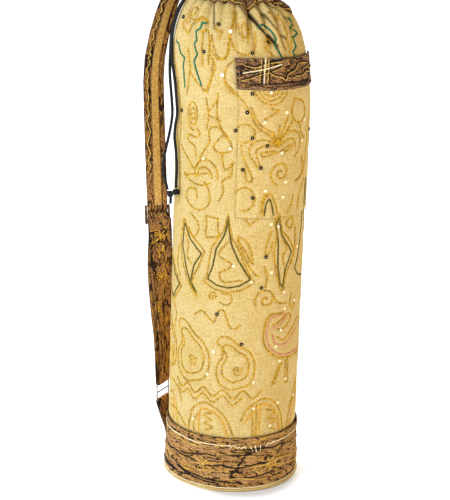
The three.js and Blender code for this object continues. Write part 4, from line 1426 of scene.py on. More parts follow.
def wrap_stops(place, start, sweep, reach):
    """Stops round a bar."""
    angles = np.radians(start + np.linspace(0, 1, 9) * sweep)
    return [(place, reach * math.cos(angle), reach * math.sin(angle)) for angle in angles]


UPPER_STOPS = [*run_stops(0, 4, 10, 0), *run_stops(4.6, 10, 7, 0), (10.35, -1.15, 0.0), (10.62, -2.3, 0.0)]
STRAP_STOPS = [
    *UPPER_STOPS, (10.77, -2.3, 0.0), (10.93, 3.45, 0.0), (11, 4.6, 0.0), (11.5, 4.6, 0.0), (12, 2.9, 0.0),
    *run_stops(12.6, 15.8, 8, BAR_WRAP), *wrap_stops(RING_ROW, 0, 180, BAR_WRAP),
    *run_stops(15.8, 12.6, 8, -BAR_WRAP), *run_stops(12, 11.2, 3, -BAR_WRAP),
    *wrap_stops(SLIDER_ROW, 180, 180, BAR_WRAP), (11.28, BAR_WRAP, 0.0),
]
TAB_STOPS = [*run_stops(4, 1, 7, 1.3), (0.5, 1.8, 0.0), *wrap_stops(0, 0, -180, BAR_WRAP), (0.5, -1.8, 0.0),
             *run_stops(1, 2, 3, -1.3)]
print("strap stops:", len(STRAP_STOPS), "tab stops:", len(TAB_STOPS))

# %% Course of a strip
# The front layer spreads behind the slider, and further down it has slid aside by some millimetres.
SPREAD_PLACES = (10.95, 11.15, 12.3, 13.6)
FRONT_SPREAD = (0.0, 5.0, 5.0, 0.0)
SLIDE_PLACES = (12.6, 13.4, 15.5, 16.0)
FRONT_SLIDE = (0.0, 2.6, 4.2, 0.0)
STRIP_STEP = 2.5


def strip_course(rows, stops):
    """Middles, directions across and widths, at an even step along the stops."""
    anchors = []
    for place, depth, drop in stops:
        middle, across, through, along, width = strip_frame(rows, place)
        spread = np.interp(place, SPREAD_PLACES, FRONT_SPREAD) if depth < 0 else 0.0
        slide = np.interp(place, SLIDE_PLACES, FRONT_SLIDE) if depth < 0 else 0.0
        middle = middle + through * depth + along * drop + across * (0.4 * spread + slide)
        anchors.append((*middle, *across, width + spread))
    anchors = np.array(anchors)
    lengths = travelled(anchors[:, :3])
    places = np.unique(np.concatenate([lengths, np.arange(0, lengths[-1], STRIP_STEP)]))
    course = np.stack([np.interp(places, lengths, anchors[:, k]) for k in range(7)], -1)
    return course[:, :3], course[:, 3:6], course[:, 6], places


print("strap length:", round(strip_course(STRAP_ROWS, STRAP_STOPS)[3][-1]), "mm")

# %% Strap and tab
STRIP_POINTS = 15
STRIP_CELL = (26, 4.4)
PAINTED_LIGHT_BELOW, PAINTED_LIGHT_ABOVE = 285, 330


def strip_shell(rows, stops, cloth, seed, width=None, shift=0.0, relief=0.0):
    """A flat strip with rounded edges and crumpled faces, in metres."""
    middle, across, widths, places = strip_course(rows, stops)
    out = unit(np.cross(np.gradient(middle, axis=0), across))
    share = np.linspace(-1, 1, STRIP_POINTS)
    half = (widths if width is None else np.full(len(places), width))[:, None] / 2
    thin = np.sqrt(np.clip(1 - np.abs(share) ** 10, 0.12, 1))
    height, crease = crumple(places[:, None] / STRIP_CELL[0], share * half / STRIP_CELL[1] + 20, seed)
    # Painted shade: the crease mark darkens both edges of a strip.
    crease = np.maximum(crease, np.clip((np.abs(share) - 0.84) / 0.1, 0, 0.8))
    flat = middle[:, None] + across[:, None] * (share * half + shift)[:, :, None]
    reach = cloth / 2 * thin + relief * (height - 0.4) * thin ** 2
    raised = out[:, None] * reach[:, :, None]
    rings = np.concatenate([flat + raised, (flat - raised)[:, ::-1]], 1) * MM
    # Painted light: the strap and tab are lightened below one height and above another.
    wear_and_painted_light = 1.3 * ramp(PAINTED_LIGHT_BELOW - middle[:, 2], 110) + 0.3 * ramp(middle[:, 2] - PAINTED_LIGHT_ABOVE, 20)
    fade_and_painted_light = wear_and_painted_light[:, None] * np.ones(2 * STRIP_POINTS)
    marks = {"crease": np.concatenate([crease, crease[:, ::-1]], 1), "fade_and_painted_light": fade_and_painted_light}
    us = np.concatenate([share, share[::-1], share[:1]]) * half.mean() * MM
    shell = loft(rings, False, us, places * MM, marks)
    shell["uv"] = shell["uv"][..., ::-1]
    return shell


strap_shell = strip_shell(STRAP_ROWS, STRAP_STOPS, 2.0, 71, relief=0.35)
add_shells("shoulder_strap_cloth", [strap_shell], strap_cloth, "brown_cloth", "shoulder_strap")
tab_shell = strip_shell(TAB_ROWS, TAB_STOPS, 2.0, 75, relief=0.3)
add_shells("strap_tab_cloth", [tab_shell], strap_cloth, "brown_cloth", "strap_tab")

# %% [markdown]
# ## Ribbon on the strap
# A pale flat ribbon is sewn along the strap above the slider. A stripe of another colour in the
# strap's finish would lie flat, so the ribbon is a strip of its own. Its ribs run across it: they are
# a fine wave along its length, with darker lines in between and a darker selvedge at both sides.

# %% Strap ribbon
RIBBON_CLOTH, RIBBON_WIDTH, RIBBON_SHIFT, RIBBON_LIFT = 0.9, 9.0, 1.1, 1.75
RIB_PITCH = 0.9 * MM


def ribbon_finish():
    material, start, shader = new_finish("tan_ribbon", Roughness=0.6, Sheen_Weight=0.15)
    uv = start.node("ShaderNodeUVMap", uv_map="cloth")
    split = start.node("ShaderNodeSeparateXYZ", {0: uv})
    ribs = (split.out("X") * (2 * math.pi / RIB_PITCH)).sine() * 0.5 + 0.5
    dirt_and_painted_seam_shade = slubs(uv, 1.0, 0.3, 900.0, 4.0)
    selvedge = abs(split.out("Y")).step(3.4 * MM, 4.1 * MM)
    ground = dirt_and_painted_seam_shade.step(0.38, 0.62).mix(rgba(232, 188, 92), rgba(176, 126, 46))
    ribbed = ((1 - ribs) * 0.3).mix(ground, rgba(140, 96, 38))
    feed(shader, "Base Color", (selvedge * 0.5).mix(ribbed, rgba(120, 80, 34)))
    feed_bump(shader, ribs + dirt_and_painted_seam_shade, 0.3 * MM, 0.7)
    return material


ribbon_stops = [(place, depth - RIBBON_LIFT, drop) for place, depth, drop in UPPER_STOPS[1:]]
ribbon_shell = strip_shell(STRAP_ROWS, ribbon_stops, RIBBON_CLOTH, 79, RIBBON_WIDTH, RIBBON_SHIFT)
add_shells("strap_ribbon", [ribbon_shell], ribbon_finish(), "ribbon", "strap_stripe")

# %% [markdown]
# ## Slider and ring
# The slider is a flat three-bar buckle in dark antique brass, and the ring is bent from steel wire
# with a bar across its middle. Cubes and cylinders would have sharp ends, so both are swept: round
# bars, side plates with softened edges, and a wire loop with real bends at its corners.

# %% Metal finishes
def metal_finish(name, low, high, roughness, metallic):
    material, start, shader = new_finish(name, Metallic=metallic, Roughness=roughness)
    place = start.place()
    stains = place.noise(260.0, 5.0)
    feed(shader, "Base Color", stains.step(0.35, 0.7).mix(low, high))
    feed(shader, "Roughness", stains * 0.3 + (roughness - 0.1))
    feed_bump(shader, place.noise(1800.0, 2.0), 0.05 * MM, 0.5)
    return material


antique_brass = metal_finish("antique_brass", rgba(70, 48, 26), rgba(126, 92, 50), 0.42, 0.9)
steel_wire = metal_finish("steel_wire", rgba(150, 144, 136), rgba(205, 200, 192), 0.3, 1.0)
print("finishes:", antique_brass.name, steel_wire.name)

# %% Bars, plates and wire
WIRE_RADIUS, WIRE_BEND = 1.0, 3.0
BAR_POINTS, BAR_SIDES = 12, 12
PLATE_POINTS = 24
PLATE_SECTIONS = ((-12, 0.6), (-11.7, 0.85), (-11, 1), (0, 1), (11, 1), (11.7, 0.85), (12, 0.6))


def on_seat(row, points):
    """Places across, through and up the strap at one of its rows, from millimetres to metres in the frame."""
    middle, across, through, along, _ = strip_frame(STRAP_ROWS, row)
    points = np.asarray(points, float)
    return (middle + points[..., :1] * across + points[..., 1:2] * through - points[..., 2:] * along) * MM


def bar_shell(row, half_width, z):
    """A round bar across the strap, drawn in at both ends."""
    route = on_seat(row, np.linspace((-half_width, 0, z), (half_width, 0, z), BAR_POINTS))
    rounded = WIRE_RADIUS * np.sqrt(np.clip(1 - np.linspace(-1, 1, BAR_POINTS) ** 8, 0.15, 1))
    return loft(tube_rings(route, rounded[:, None] * MM, BAR_SIDES))


def plate_shell(row, x):
    """A side plate: a rounded rectangle that is drawn in at both ends."""
    angle = np.radians(round_columns(PLATE_POINTS) + 7.5)
    wide, deep = (np.sign(wave) * np.abs(wave) ** 0.4 for wave in (np.cos(angle), np.sin(angle)))
    rings = [on_seat(row, np.column_stack([x + 1.6 * wide * size, deep * size, np.full(PLATE_POINTS, z)]))
             for z, size in PLATE_SECTIONS]
    return loft(rings)


def wire_loop(row, half_width, half_height, drop):
    """A closed wire rectangle with bent corners."""
    route = []
    for x, z, start in ((1, 1, 0), (-1, 1, 90), (-1, -1, 180), (1, -1, 270)):
        angle = np.radians(start + np.linspace(0, 90, 7))
        across = (half_width - WIRE_BEND) * x + WIRE_BEND * np.cos(angle)
        up = drop + (half_height - WIRE_BEND) * z + WIRE_BEND * np.sin(angle)
        route.append(np.stack([across, 0 * angle, up], -1))
    route = np.concatenate(route)
    through = np.array((0, 1, 0))
    level = np.cross(unit(np.roll(route, -1, 0) - np.roll(route, 1, 0)), through)
    turns = np.radians(np.arange(0, 360, 30))[:, None]
    rings = route[:, None] + WIRE_RADIUS * (np.cos(turns) * level[:, None] + np.sin(turns) * through)
    return loft(on_seat(row, rings), True)


print("plates have", PLATE_POINTS, "points round them, and bars", BAR_SIDES)

# %% Slider and ring
slider_shells = [bar_shell(SLIDER_ROW, 14, z) for z in (-11, 0, 11)]
slider_shells += [plate_shell(SLIDER_ROW, x) for x in (-14, 14)]
add_shells("strap_slider_buckle", slider_shells, antique_brass, "antique_brass", "strap_slider")
ring_shells = [wire_loop(RING_ROW, 15, 12, -12), bar_shell(RING_ROW, 15, -12)]
add_shells("strap_ring_wire", ring_shells, steel_wire, "steel_wire", "strap_ring")

# %% [markdown]
# ## Thread
# Gold thread is worked in chain stitch: every stitch is a small loop whose two sides lean apart, so a
# row looks like two lines of grains. This repeats along every path, which is what Geometry Nodes are
# for. One tree puts a link on each step of a path, turned by the cloth's normal and the path's way.

# %% Trees with named inputs
def new_tree(name, sizes, finishes, seed=None):
    """A tree with named inputs, the start of its sums and the node that gives the inputs."""
    tree = bpy.data.node_groups.new(name, "GeometryNodeTree")
    inputs = [("Geometry", "NodeSocketGeometry", None)]
    inputs += [(key, "NodeSocketFloat", value) for key, value in sizes.items()]
    if seed is not None:
        inputs.append(("Seed", "NodeSocketInt", seed))
    inputs += [(key, "NodeSocketMaterial", None) for key in finishes]
    for key, kind, default in inputs:
        socket = tree.interface.new_socket(key, in_out="INPUT", socket_type=kind)
        if default is not None:
            socket.default_value = default
    tree.interface.new_socket("Geometry", in_out="OUTPUT", socket_type="NodeSocketGeometry")
    start = Link(tree)
    return tree, start, start.node("NodeGroupInput")


def cloth_normal(start):
    """The way out from the cloth, which each point of the rows or places remembers."""
    return start.node("GeometryNodeInputNamedAttribute", {"Name": "cloth_normal"}, data_type="FLOAT_VECTOR")


print("trees can be started")

# %% Chain stitch tree
def chain_stitch_tree():
    sizes = {"Pitch": 2.6 * MM, "Length": 1.6 * MM, "Width": 0.7 * MM, "Height": 0.6 * MM, "Spread": 0.8 * MM,
             "Slant": 0.4}
    tree, start, given = new_tree("chain_stitch", sizes, ["Finish"], seed=5)
    rows = start.node("GeometryNodeMeshToCurve", {"Mesh": given.out("Geometry")})
    pitched = {"Curve": rows, "Length": given.out("Pitch")}
    steps = start.node("GeometryNodeResampleCurve", pitched, mode="LENGTH")
    grain = start.node("GeometryNodeMeshUVSphere", {"Segments": 5, "Rings": 3, "Radius": 1.0})
    size = start.node("ShaderNodeCombineXYZ",
                      {0: given.out("Length"), 1: given.out("Width"), 2: given.out("Height")})
    link = start.node("GeometryNodeJoinGeometry")
    for side in (1, -1):
        shift = start.node("ShaderNodeCombineXYZ", {1: given.out("Spread") * side})
        lean = start.node("ShaderNodeCombineXYZ", {2: given.out("Slant") * side})
        half = start.node("GeometryNodeTransform",
                          {"Geometry": grain, "Translation": shift, "Rotation": lean, "Scale": size})
        tree.links.new(half.socket, link.socket.node.inputs[0])
    axes = {"Primary Axis": cloth_normal(start), "Secondary Axis": start.node("GeometryNodeInputTangent")}
    facing = start.node("FunctionNodeAxesToRotation", axes, primary_axis="Z", secondary_axis="X")
    grains = start.node("GeometryNodeInstanceOnPoints",
                        {"Points": steps, "Instance": link, "Rotation": facing})
    limits = {2: 0.0, 3: 1.0, "Seed": given.out("Seed")}
    shade = start.node("FunctionNodeRandomValue", limits, 1, data_type="FLOAT")
    stored = {"Geometry": grains, "Name": "tint", "Value": shade}
    tinted = start.node("GeometryNodeStoreNamedAttribute", stored, domain="INSTANCE", data_type="FLOAT")
    real = start.node("GeometryNodeRealizeInstances", {"Geometry": tinted})
    dyed = start.node("GeometryNodeSetMaterial", {"Geometry": real, "Material": given.out("Finish")})
    start.node("NodeGroupOutput", {"Geometry": dyed})
    return tree


chain_stitch = chain_stitch_tree()
print("tree:", chain_stitch.name, "nodes:", len(chain_stitch.nodes))

# %% Meshes grown by a tree
def grown(name, mesh, tree, values):
    """The plain mesh that a tree makes from a mesh, with the tree's named inputs set first."""
    carrier = new_object(name, mesh)
    modifier = carrier.modifiers.new("grow", "NODES")
    modifier.node_group = tree
    identifiers = {item.name: item.identifier for item in tree.interface.items_tree if item.in_out == "INPUT"}
    for key, value in values.items():
        modifier[identifiers[key]] = value
    result = modified_mesh(carrier)
    bpy.data.objects.remove(carrier)
    bpy.data.meshes.remove(mesh)
    result.name = name
    result.shade_smooth()
    return result


def path_mesh(runs, normals):
    """Open rows of points as one mesh of edges that remembers which way the cloth faces."""
    starts = np.cumsum([0] + [len(run) for run in runs])
    edges = [(k, k + 1) for start, run in zip(starts, runs) for k in range(start, start + len(run) - 1)]
    mesh = bpy.data.meshes.new("rows")
    mesh.from_pydata(np.concatenate(runs).tolist(), edges, [])
    layer = mesh.attributes.new("cloth_normal", "FLOAT_VECTOR", "POINT")
    layer.data.foreach_set("vector", np.concatenate(normals).ravel())
    return mesh


print("rows and places can be grown")

# %% Thread finishes
def thread_finish(name, low, high):
    """Twisted cotton: each grain has its own shade, and fine fibres run over it."""
    material, start, shader = new_finish(name, Roughness=0.55, Specular_IOR_Level=0.15)
    fibres = start.place().noise(1500.0, 2.0)
    feed(shader, "Base Color", (start.mark("tint") * 0.75 + fibres * 0.25).mix(low, high))
    feed_bump(shader, fibres, 0.15 * MM, 0.5)
    return material


thread_finishes = {
    "gold": thread_finish("gold_thread", rgba(152, 106, 6), rgba(238, 194, 40)),
    "green": thread_finish("green_thread", rgba(0, 86, 64), rgba(8, 124, 94)),
    "olive": thread_finish("olive_thread", rgba(62, 56, 8), rgba(116, 104, 34)),
    "pink": thread_finish("pink_thread", rgba(208, 128, 96), rgba(240, 180, 150)),
    "bright": thread_finish("yellow_thread", rgba(206, 140, 10), rgba(252, 206, 70)),
    "straw": thread_finish("straw_thread", rgba(196, 150, 50), rgba(246, 214, 116)),
    "cream": thread_finish("cream_thread", rgba(240, 222, 166), rgba(255, 247, 210)),
    "grey": thread_finish("grey_thread", rgba(130, 112, 96), rgba(190, 170, 146)),
    "black": thread_finish("black_thread", rgba(18, 14, 14), rgba(48, 38, 34)),
}
CHAIN = {"Pitch": 2.4 * MM, "Length": 1.3 * MM, "Width": 0.6 * MM, "Height": 0.6 * MM, "Spread": 0.65 * MM,
         "Slant": 0.35, "Seed": 5}
TWIST = {"Pitch": 2.0 * MM, "Length": 1.5 * MM, "Width": 0.62 * MM, "Height": 0.6 * MM, "Spread": 0.3 * MM,
         "Slant": 0.3, "Seed": 6}
embroidery_sizes = {
    "gold": CHAIN, "bright": CHAIN, "green": {**TWIST, "Width": 1.1 * MM},
    "olive": {**TWIST, "Width": 0.9 * MM}, "pink": CHAIN,
}
print("thread finishes:", len(thread_finishes))

# %% Embroidery
THREAD_SINK = -0.3 * MM


def sew_piece(name, runs, thread, size, slot):
    """A piece of stitched thread along rows, each a pair of points and normals."""
    mesh = path_mesh([points for points, _ in runs], [normals for _, normals in runs])
    stitched = grown(name, mesh, chain_stitch, {**size, "Finish": thread_finishes[thread]})
    print(name, "rows:", len(runs))
    return add_piece(name, stitched, thread_finishes[thread], slot)


for thread, size in embroidery_sizes.items():
    for side in ("front", "back"):
        on_front = side == "front"
        facing = [run for run in thread_runs[thread] if (abs(run[:, 0].mean()) < 90 * ARC) == on_front]
        runs = [laid_on(cloth_face, run, THREAD_SINK) for run in facing]
        sew_piece(f"{thread}_embroidery_{side}", runs, thread, size, "straw_cloth")

# %% [markdown]
# ## Thread on the brown cloth
# The brown pieces carry their own thread: a cream cross and zigzags on the trim, a cream line under the
# band's hem, stars and wavy rows in yellow and black. They could be drawn in the cloth's finish, but
# a sewn row stands up and catches light. The same tree sews them, and only the surface changes: the
# band, trim and casing are faces of the bag's own surface, and the strap has its frame.

# %% Rows on brown cloth
FINE = {**TWIST, "Width": 0.34 * MM, "Spread": 0.12 * MM, "Height": 0.45 * MM}
DOTS = {**FINE, "Pitch": 2.9 * MM, "Length": 0.95 * MM}
THICK = {**TWIST, "Width": 0.5 * MM, "Height": 0.7 * MM}
CREAM = {**FINE, "Width": 0.5 * MM, "Spread": 0.2 * MM}
ROW_LIFT = 0.35 * MM


def sew_rows(place, lay, *kinds):
    """Lays rows on a brown surface, one piece for each kind of thread."""
    for name, rows, thread, size in kinds:
        sew_piece(f"{place}_rows_{name}", [lay(row) for row in rows], thread, size, "brown_cloth")


print("rows are laid", ROW_LIFT, "m above the cloth")

# %% Band rows
HEM_HEIGHT, FOOT_HEIGHT = 60.5, 5.4
STAR_TURNS = (8, 52, 98, 145)
WAVE_STEP, WAVE_SWAY = 7.0, 2.4


def star(azimuth, along, reach):
    """Four short rows that cross."""
    reaches = [reach * np.array((np.cos(t), np.sin(t))) for t in np.radians(STAR_TURNS)]
    return [corners([(azimuth, along) - half, (azimuth, along) + half]) for half in reaches]


def wavy_rows(random, count, low, high, shortest, longest):
    """Wandering rows round the band, between two heights in millimetres."""
    rows = []
    for _ in range(count):
        start, level = random.uniform(-180, 180), random.uniform(low, high)
        turns = np.arange(0, random.uniform(shortest, longest), WAVE_STEP)
        levels = np.clip(level + np.cumsum(random.uniform(-WAVE_SWAY, WAVE_SWAY, len(turns))), low, high)
        rows.append(trail(np.column_stack([start + turns, levels])))
    return rows


random = np.random.default_rng(8)
hem_turns = np.arange(-180, 181, 6)
hem_sway = cloth_noise(hem_turns / 10, 0.5, 91, 36)
hem_line = trail(np.column_stack([hem_turns, HEM_HEIGHT + 1.2 * hem_sway]))
hem_foot = trail(np.column_stack([hem_turns, FOOT_HEIGHT + 0.4 * hem_sway]))
band_cream = [
    hem_line[hem_line[:, 0] < -1 * ARC], hem_line[hem_line[:, 0] > 38 * ARC], hem_foot,
    trail("0,59.5 2.5,61 5,58 7,59"), trail("32,57.5 34.5,60.5 36,58.5 39,61"),
    corners("9,57.5 11,59.5 13,57.5"), corners("17,59 19,54"), corners("21.5,59 22.5,52.5"),
    corners("26.5,59 26.5,53.5"),
]
band_yellow = star(-24, 34, 8) + star(35, 34, 8) + star(155, 32, 8) + star(-128, 36, 8)
band_yellow += wavy_rows(random, 14, 8, 55, 20, 70)
band_black = [
    corners("12.5,46 7,34 0,20"), trail("-62,26 -40,18 -15,14 10,12"),
    trail("-52,20 -30,13 -10,10"), *wavy_rows(random, 14, 8, 56, 20, 70),
]
sew_rows("band", lambda row: laid_on(band_face, row, ROW_LIFT), ("cream", band_cream, "cream", CREAM),
         ("yellow", band_yellow, "straw", FINE), ("black", band_black, "black", TWIST))

# %% Trim rows
trim_cream = [corners("22,538 20,524 19,511"), corners("3,522 19,526 35,530")]
trim_yellow = [
    corners("18.5,536 15.5,512"), corners("24.5,536 22,511"),
    trail("5,530 13,528 24,532 36,533"),
    trail("1,513 9,516 17,520 27,523 36,527"),
    trail("24,522 29,518 35,516 38,512 42,519 50,522 55,528 70,526"),
    trail("50,515 58,514 66,517 74,515"), trail("61,521 75,523"), trail("76,520 92,515"),
]
trim_black = [
    *(beside(row, 1.6) for row in trim_yellow), trail("2,527 10,522 15,524"),
    trail("28,535 45,536 60,532"), trail("8,510 30,509 52,508 80,503"),
]
trim_dots = [
    corners("-3.5,505 -3.5,536"), corners("-0.5,505 -0.5,536"),
    corners("-4,537.5 40,536 92,533"), corners("-4,504.5 40,502.5 92,500"),
]
seam = laid_on(pocket_face, corners("-3.2,498 -3.2,351.5 92,347"), 0.3 * MM)
sew_piece("pocket_seam", [seam], "straw", DOTS, "straw_cloth")
sew_rows("trim", lambda row: laid_on(trim_face, row, ROW_LIFT), ("cream", trim_cream, "cream", THICK),
         ("yellow", trim_yellow, "straw", FINE), ("black", trim_black, "black", TWIST),
         ("dots", trim_dots, "grey", DOTS))

# %% Strap rows
LOOSE_ROWS = 48
LOW_FRONT = 3.5
ZIGZAG_START, ZIGZAG_END = 0.3, 9.8
STRAP_STARS = ((12.0, 2, 0.3), (13.4, -1, 0.16), (14.6, 3, 0.16))
STRAP_STAR_TURNS = (4, 40, 84, 130)


def on_strap(points):
    """A row through places along the strap, given with millimetres across it and in front of its middle."""
    rows = []
    for place, across, front in points:
        middle, side, through, _, _ = strip_frame(STRAP_ROWS, place)
        slid = across + np.interp(place, SLIDE_PLACES, FRONT_SLIDE)
        rows.append((*(middle + side * slid - through * front) * MM, *-through))
    rows = np.array(rows)
    return rows[:, :3], rows[:, 3:]


zigzag, place, side = [], ZIGZAG_START, 1
while place < ZIGZAG_END:
    zigzag.append((place, -8.0 + side * random.uniform(0.2, 2.8), 1.5))
    place, side = place + random.uniform(0.08, 0.3), -side
strap_yellow = [[(11.8, -9, 3.4), (11.6, 10, 3.4)], [(12.3, -9, 3.4), (12.0, 10, 3.4)]]
for centre, offset, tall in STRAP_STARS:
    for turn in np.radians(STRAP_STAR_TURNS):
        reach = random.uniform(0.4, 0.9)
        up, side = tall * reach * math.sin(turn), 9 * reach * math.cos(turn)
        ends = ((centre - up, offset - side), (centre + up, offset + side))
        strap_yellow.append([(place, x, LOW_FRONT) for place, x in ends])
# Painted shade: the first black row follows the zigzag as its shadow, and the second, along the left edge,
# stands for the shadow of the strap's rear layer.
strap_black = [
    [(place, across + 1.7, 1.4) for place, across, _ in zigzag],
    [(place, -11.6, 3.3) for place in np.arange(11.6, 15.6, 0.1)],
]
for number in range(LOOSE_ROWS):
    first = 15.7 - 4.3 * random.uniform(0, 1) ** 1.5
    places = np.arange(first, 15.8, 0.05)[:random.integers(3, 7)]
    across = np.clip(random.uniform(-9, 11) + np.cumsum(random.uniform(-1.4, 1.4, len(places))), -10, 11.5)
    if len(places) > 1:
        loose = [(place, x, LOW_FRONT) for place, x in zip(places, across)]
        (strap_black if number % 3 == 2 else strap_yellow).append(loose)
sew_rows("strap", on_strap, ("zigzag", [zigzag], "straw", FINE), ("yellow", strap_yellow, "bright", FINE),
         ("black", strap_black, "black", FINE))

# %% Casing rows
def on_casing(lift):
    """A wavy row round the casing, some millimetres above its edge."""
    turns = np.arange(-180, 181, 9)
    levels = casing_edge(turns) / MM + lift + 0.7 * cloth_noise(turns / 9, lift, 93, 40)
    path = trail(np.column_stack([turns, levels]))
    return laid_on(lambda azimuth, along: CASING_OUT, path, 0.1 * MM)


sew_rows("casing", on_casing, ("yellow", (2.5,), "straw", FINE), ("black", (5.0, 10.0), "black", FINE))

# %% [markdown]
# ## Sequins
# Cup sequins are scattered in the figures: a shiny ring round a small bead. Modelled one by one they
# would differ for no reason, so a second tree puts one on each chosen place of the cloth. The dark ones
# are bronze with a pale bead that is a painted highlight, the small ones are gilt with a pearly bead,
# and two are pearly all over.

# %% Sequin tree
RIM_SHARE, BEAD_SHARE = 0.68, 0.45


def sequin_tree():
    sizes = {"Cup Radius": 1.6 * MM, "Rim Radius": 0.6 * MM, "Bead Radius": 1.0 * MM}
    tree, start, given = new_tree("cup_sequins", sizes, ["Cup Finish", "Bead Finish"])
    circle = start.node("GeometryNodeCurvePrimitiveCircle",
                        {"Resolution": 12, "Radius": given.out("Cup Radius")})
    rim = start.node("GeometryNodeCurvePrimitiveCircle", {"Resolution": 6, "Radius": given.out("Rim Radius")})
    cup = start.node("GeometryNodeCurveToMesh", {"Curve": circle, "Profile Curve": rim})
    bead = start.node("GeometryNodeMeshUVSphere",
                      {"Segments": 8, "Rings": 5, "Radius": given.out("Bead Radius")})
    shiny = start.node("GeometryNodeSetMaterial", {"Geometry": cup, "Material": given.out("Cup Finish")})
    pale = start.node("GeometryNodeSetMaterial", {"Geometry": bead, "Material": given.out("Bead Finish")})
    both = start.node("GeometryNodeJoinGeometry", {0: shiny})
    tree.links.new(pale.socket, both.socket.node.inputs[0])
    facing = start.node("FunctionNodeAlignRotationToVector", {"Vector": cloth_normal(start)}, axis="Z")
    placed = start.node("GeometryNodeInstanceOnPoints",
                        {"Points": given.out("Geometry"), "Instance": both, "Rotation": facing})
    real = start.node("GeometryNodeRealizeInstances", {"Geometry": placed})
    start.node("NodeGroupOutput", {"Geometry": real})
    return tree


def sequin_finish(name, low, high, shine, roughness):
    material, start, shader = new_finish(name, Roughness=roughness, Specular_IOR_Level=shine)
    clouds = start.place().noise(300.0, 2.0)
    feed(shader, "Base Color", clouds.step(0.3, 0.7).mix(low, high))
    feed(shader, "Roughness", clouds * 0.2 + roughness)
    return material


bronze = sequin_finish("bronze_sequin", rgba(8, 4, 2), rgba(38, 22, 8), 0.12, 0.5)
gilt = sequin_finish("gilt_sequin", rgba(244, 228, 176), rgba(255, 250, 220), 0.3, 0.25)
pearl = sequin_finish("pearl_sequin", rgba(240, 230, 206), rgba(255, 252, 244), 0.3, 0.2)
sequins = sequin_tree()
print("tree:", sequins.name, "nodes:", len(sequins.nodes))

# %% Sequins on the cloth
DARK_SEQUINS = (
    "-65,576 -18,576 -31,542 12,544 28,556 9,498 4,476 -63,466 -5,454 9,446 22,436 2,408 17,410 11,374 "
    "25,300 22,262 -16,228 6,192 79,444"
)
GILT_SEQUINS = (
    "25,499 19,464 39,474 63,460 36,426 60,436 -9,432 -33,416 41,390 22,382 39,372 63,304 -3,290 13,270 "
    "31,280 46,252 29,340 36,336 62,236 48,230 44,204 39,184 44,164 85,180 -18,180 18,142 -23,150 53,138 "
    "69,110 44,110 19,108 -36,88 36,82"
)
WHITE_SEQUINS = "-6,568 -15,518"
SEQUIN_LIFT = 0.7 * MM


def sequin_piece(name, places, cup, cup_finish, bead_finish):
    """Sequins of one kind, on the front and again on the back."""
    chart = np.concatenate([on_chart(places), on_chart(places) + (180 * ARC, 0)])
    chart = chart[~is_covered(chart[:, 0] / ARC, chart[:, 1])]
    points, normals = laid_on(cloth_face, chart, SEQUIN_LIFT)
    values = {"Cup Radius": cup, "Rim Radius": RIM_SHARE * cup, "Bead Radius": BEAD_SHARE * cup,
              "Cup Finish": cup_finish, "Bead Finish": bead_finish}
    made = grown(name, path_mesh(points[:, None], normals[:, None]), sequins, values)
    return add_piece(name, made, cup_finish, "straw_cloth")


# The pale gilt bead of each dark sequin is a painted highlight.
sequin_piece("dark_sequins", DARK_SEQUINS, 1.4 * MM, bronze, gilt)
sequin_piece("gilt_sequins", GILT_SEQUINS, 1.2 * MM, gilt, pearl)
sequin_piece("white_sequins", WHITE_SEQUINS, 1.45 * MM, pearl, pearl)

# %% [markdown]
# ## Cloth sheets
# Each sheet of cloth was cut larger than what it now covers where it is gathered or crumpled.

# %% Sheets
print("cloth sheets: body, pocket, trim and band")

# %% [markdown]
# ## Floor and light
# The photograph is a cut-out on white with a faint shadow at the lower right, lit softly from the
# upper left. A plain white floor would turn grey away from the lamps, so this one also glows, and it
# glows less under the bag, where a real bag keeps the light out. A wide key lamp stands at the left, a
# smaller one behind throws the shadow, and a warm card at the right stands for light thrown back.

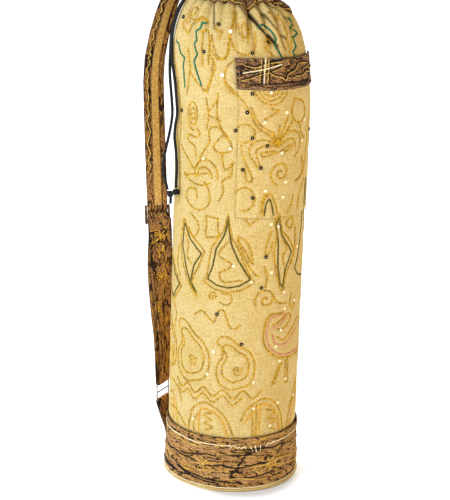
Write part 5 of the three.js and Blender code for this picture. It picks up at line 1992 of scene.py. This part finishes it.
# %% White floor
FLOOR_REACH = 14.0
CONTACT_MIDDLE = (0.014, -0.03, 0)


def distance_to(place, spot):
    return place.node("ShaderNodeVectorMath", {0: place, 1: spot}, operation="DISTANCE").out("Value")


def white_floor():
    mesh = bpy.data.meshes.new("floor")
    spots = [(x * FLOOR_REACH, y * FLOOR_REACH, 0) for x, y in ((-1, -1), (1, -1), (1, 1), (-1, 1))]
    mesh.from_pydata(spots, [], [(0, 1, 2, 3)])
    finish, start, shader = new_finish("white_floor", Roughness=0.9, Base_Color=rgba(236, 242, 252),
                                       Emission_Strength=0.9)
    place = start.place()
    contact = distance_to(place, CONTACT_MIDDLE).step(0.056, 0.078).mix(rgba(60, 60, 62), rgba(212, 212, 212))
    glow = distance_to(place, (0, 0, 0)).step(0.4, 2.0).mix(contact, rgba(250, 250, 250))
    feed(shader, "Emission Color", glow)
    mesh.materials.append(finish)
    return new_object("floor", mesh)


white_floor()
print("the floor reaches", FLOOR_REACH, "m each way")

# %% Lamps and sky
LAMPS = (
    ("key_lamp", (-2.05, -2.25, 1.7), (0, 0, 0.2), 1.6, 82, (0.97, 1.0, 1.12)),
    ("back_lamp", (-1.0, 1.5, 2.0), (0, 0, 0), 0.9, 45, (1.0, 1.0, 1.0)),
    ("warm_card", (1.6, -1.0, 0.5), (0, 0, 0.2), 1.2, 14, (1.0, 0.64, 0.22)),
)


def area_lamp(name, place, target, size, power, colour):
    lamp = bpy.data.lights.new(name, "AREA")
    lamp.size = size
    lamp.energy = power
    lamp.color = colour
    holder = new_object(name, lamp)
    holder.location = place
    holder.rotation_euler = (Vector(target) - Vector(place)).to_track_quat("-Z", "Y").to_euler()


for lamp in LAMPS:
    area_lamp(*lamp)
world = bpy.data.worlds.new("white_sky")
world.use_nodes = True
world.node_tree.nodes["Background"].inputs["Color"].default_value = (1, 0.96, 0.84, 1)
world.node_tree.nodes["Background"].inputs["Strength"].default_value = 0.34
bpy.context.scene.world = world
bpy.context.scene.view_settings.view_transform = "Standard"
print("lamps:", len(LAMPS), "and a white sky")
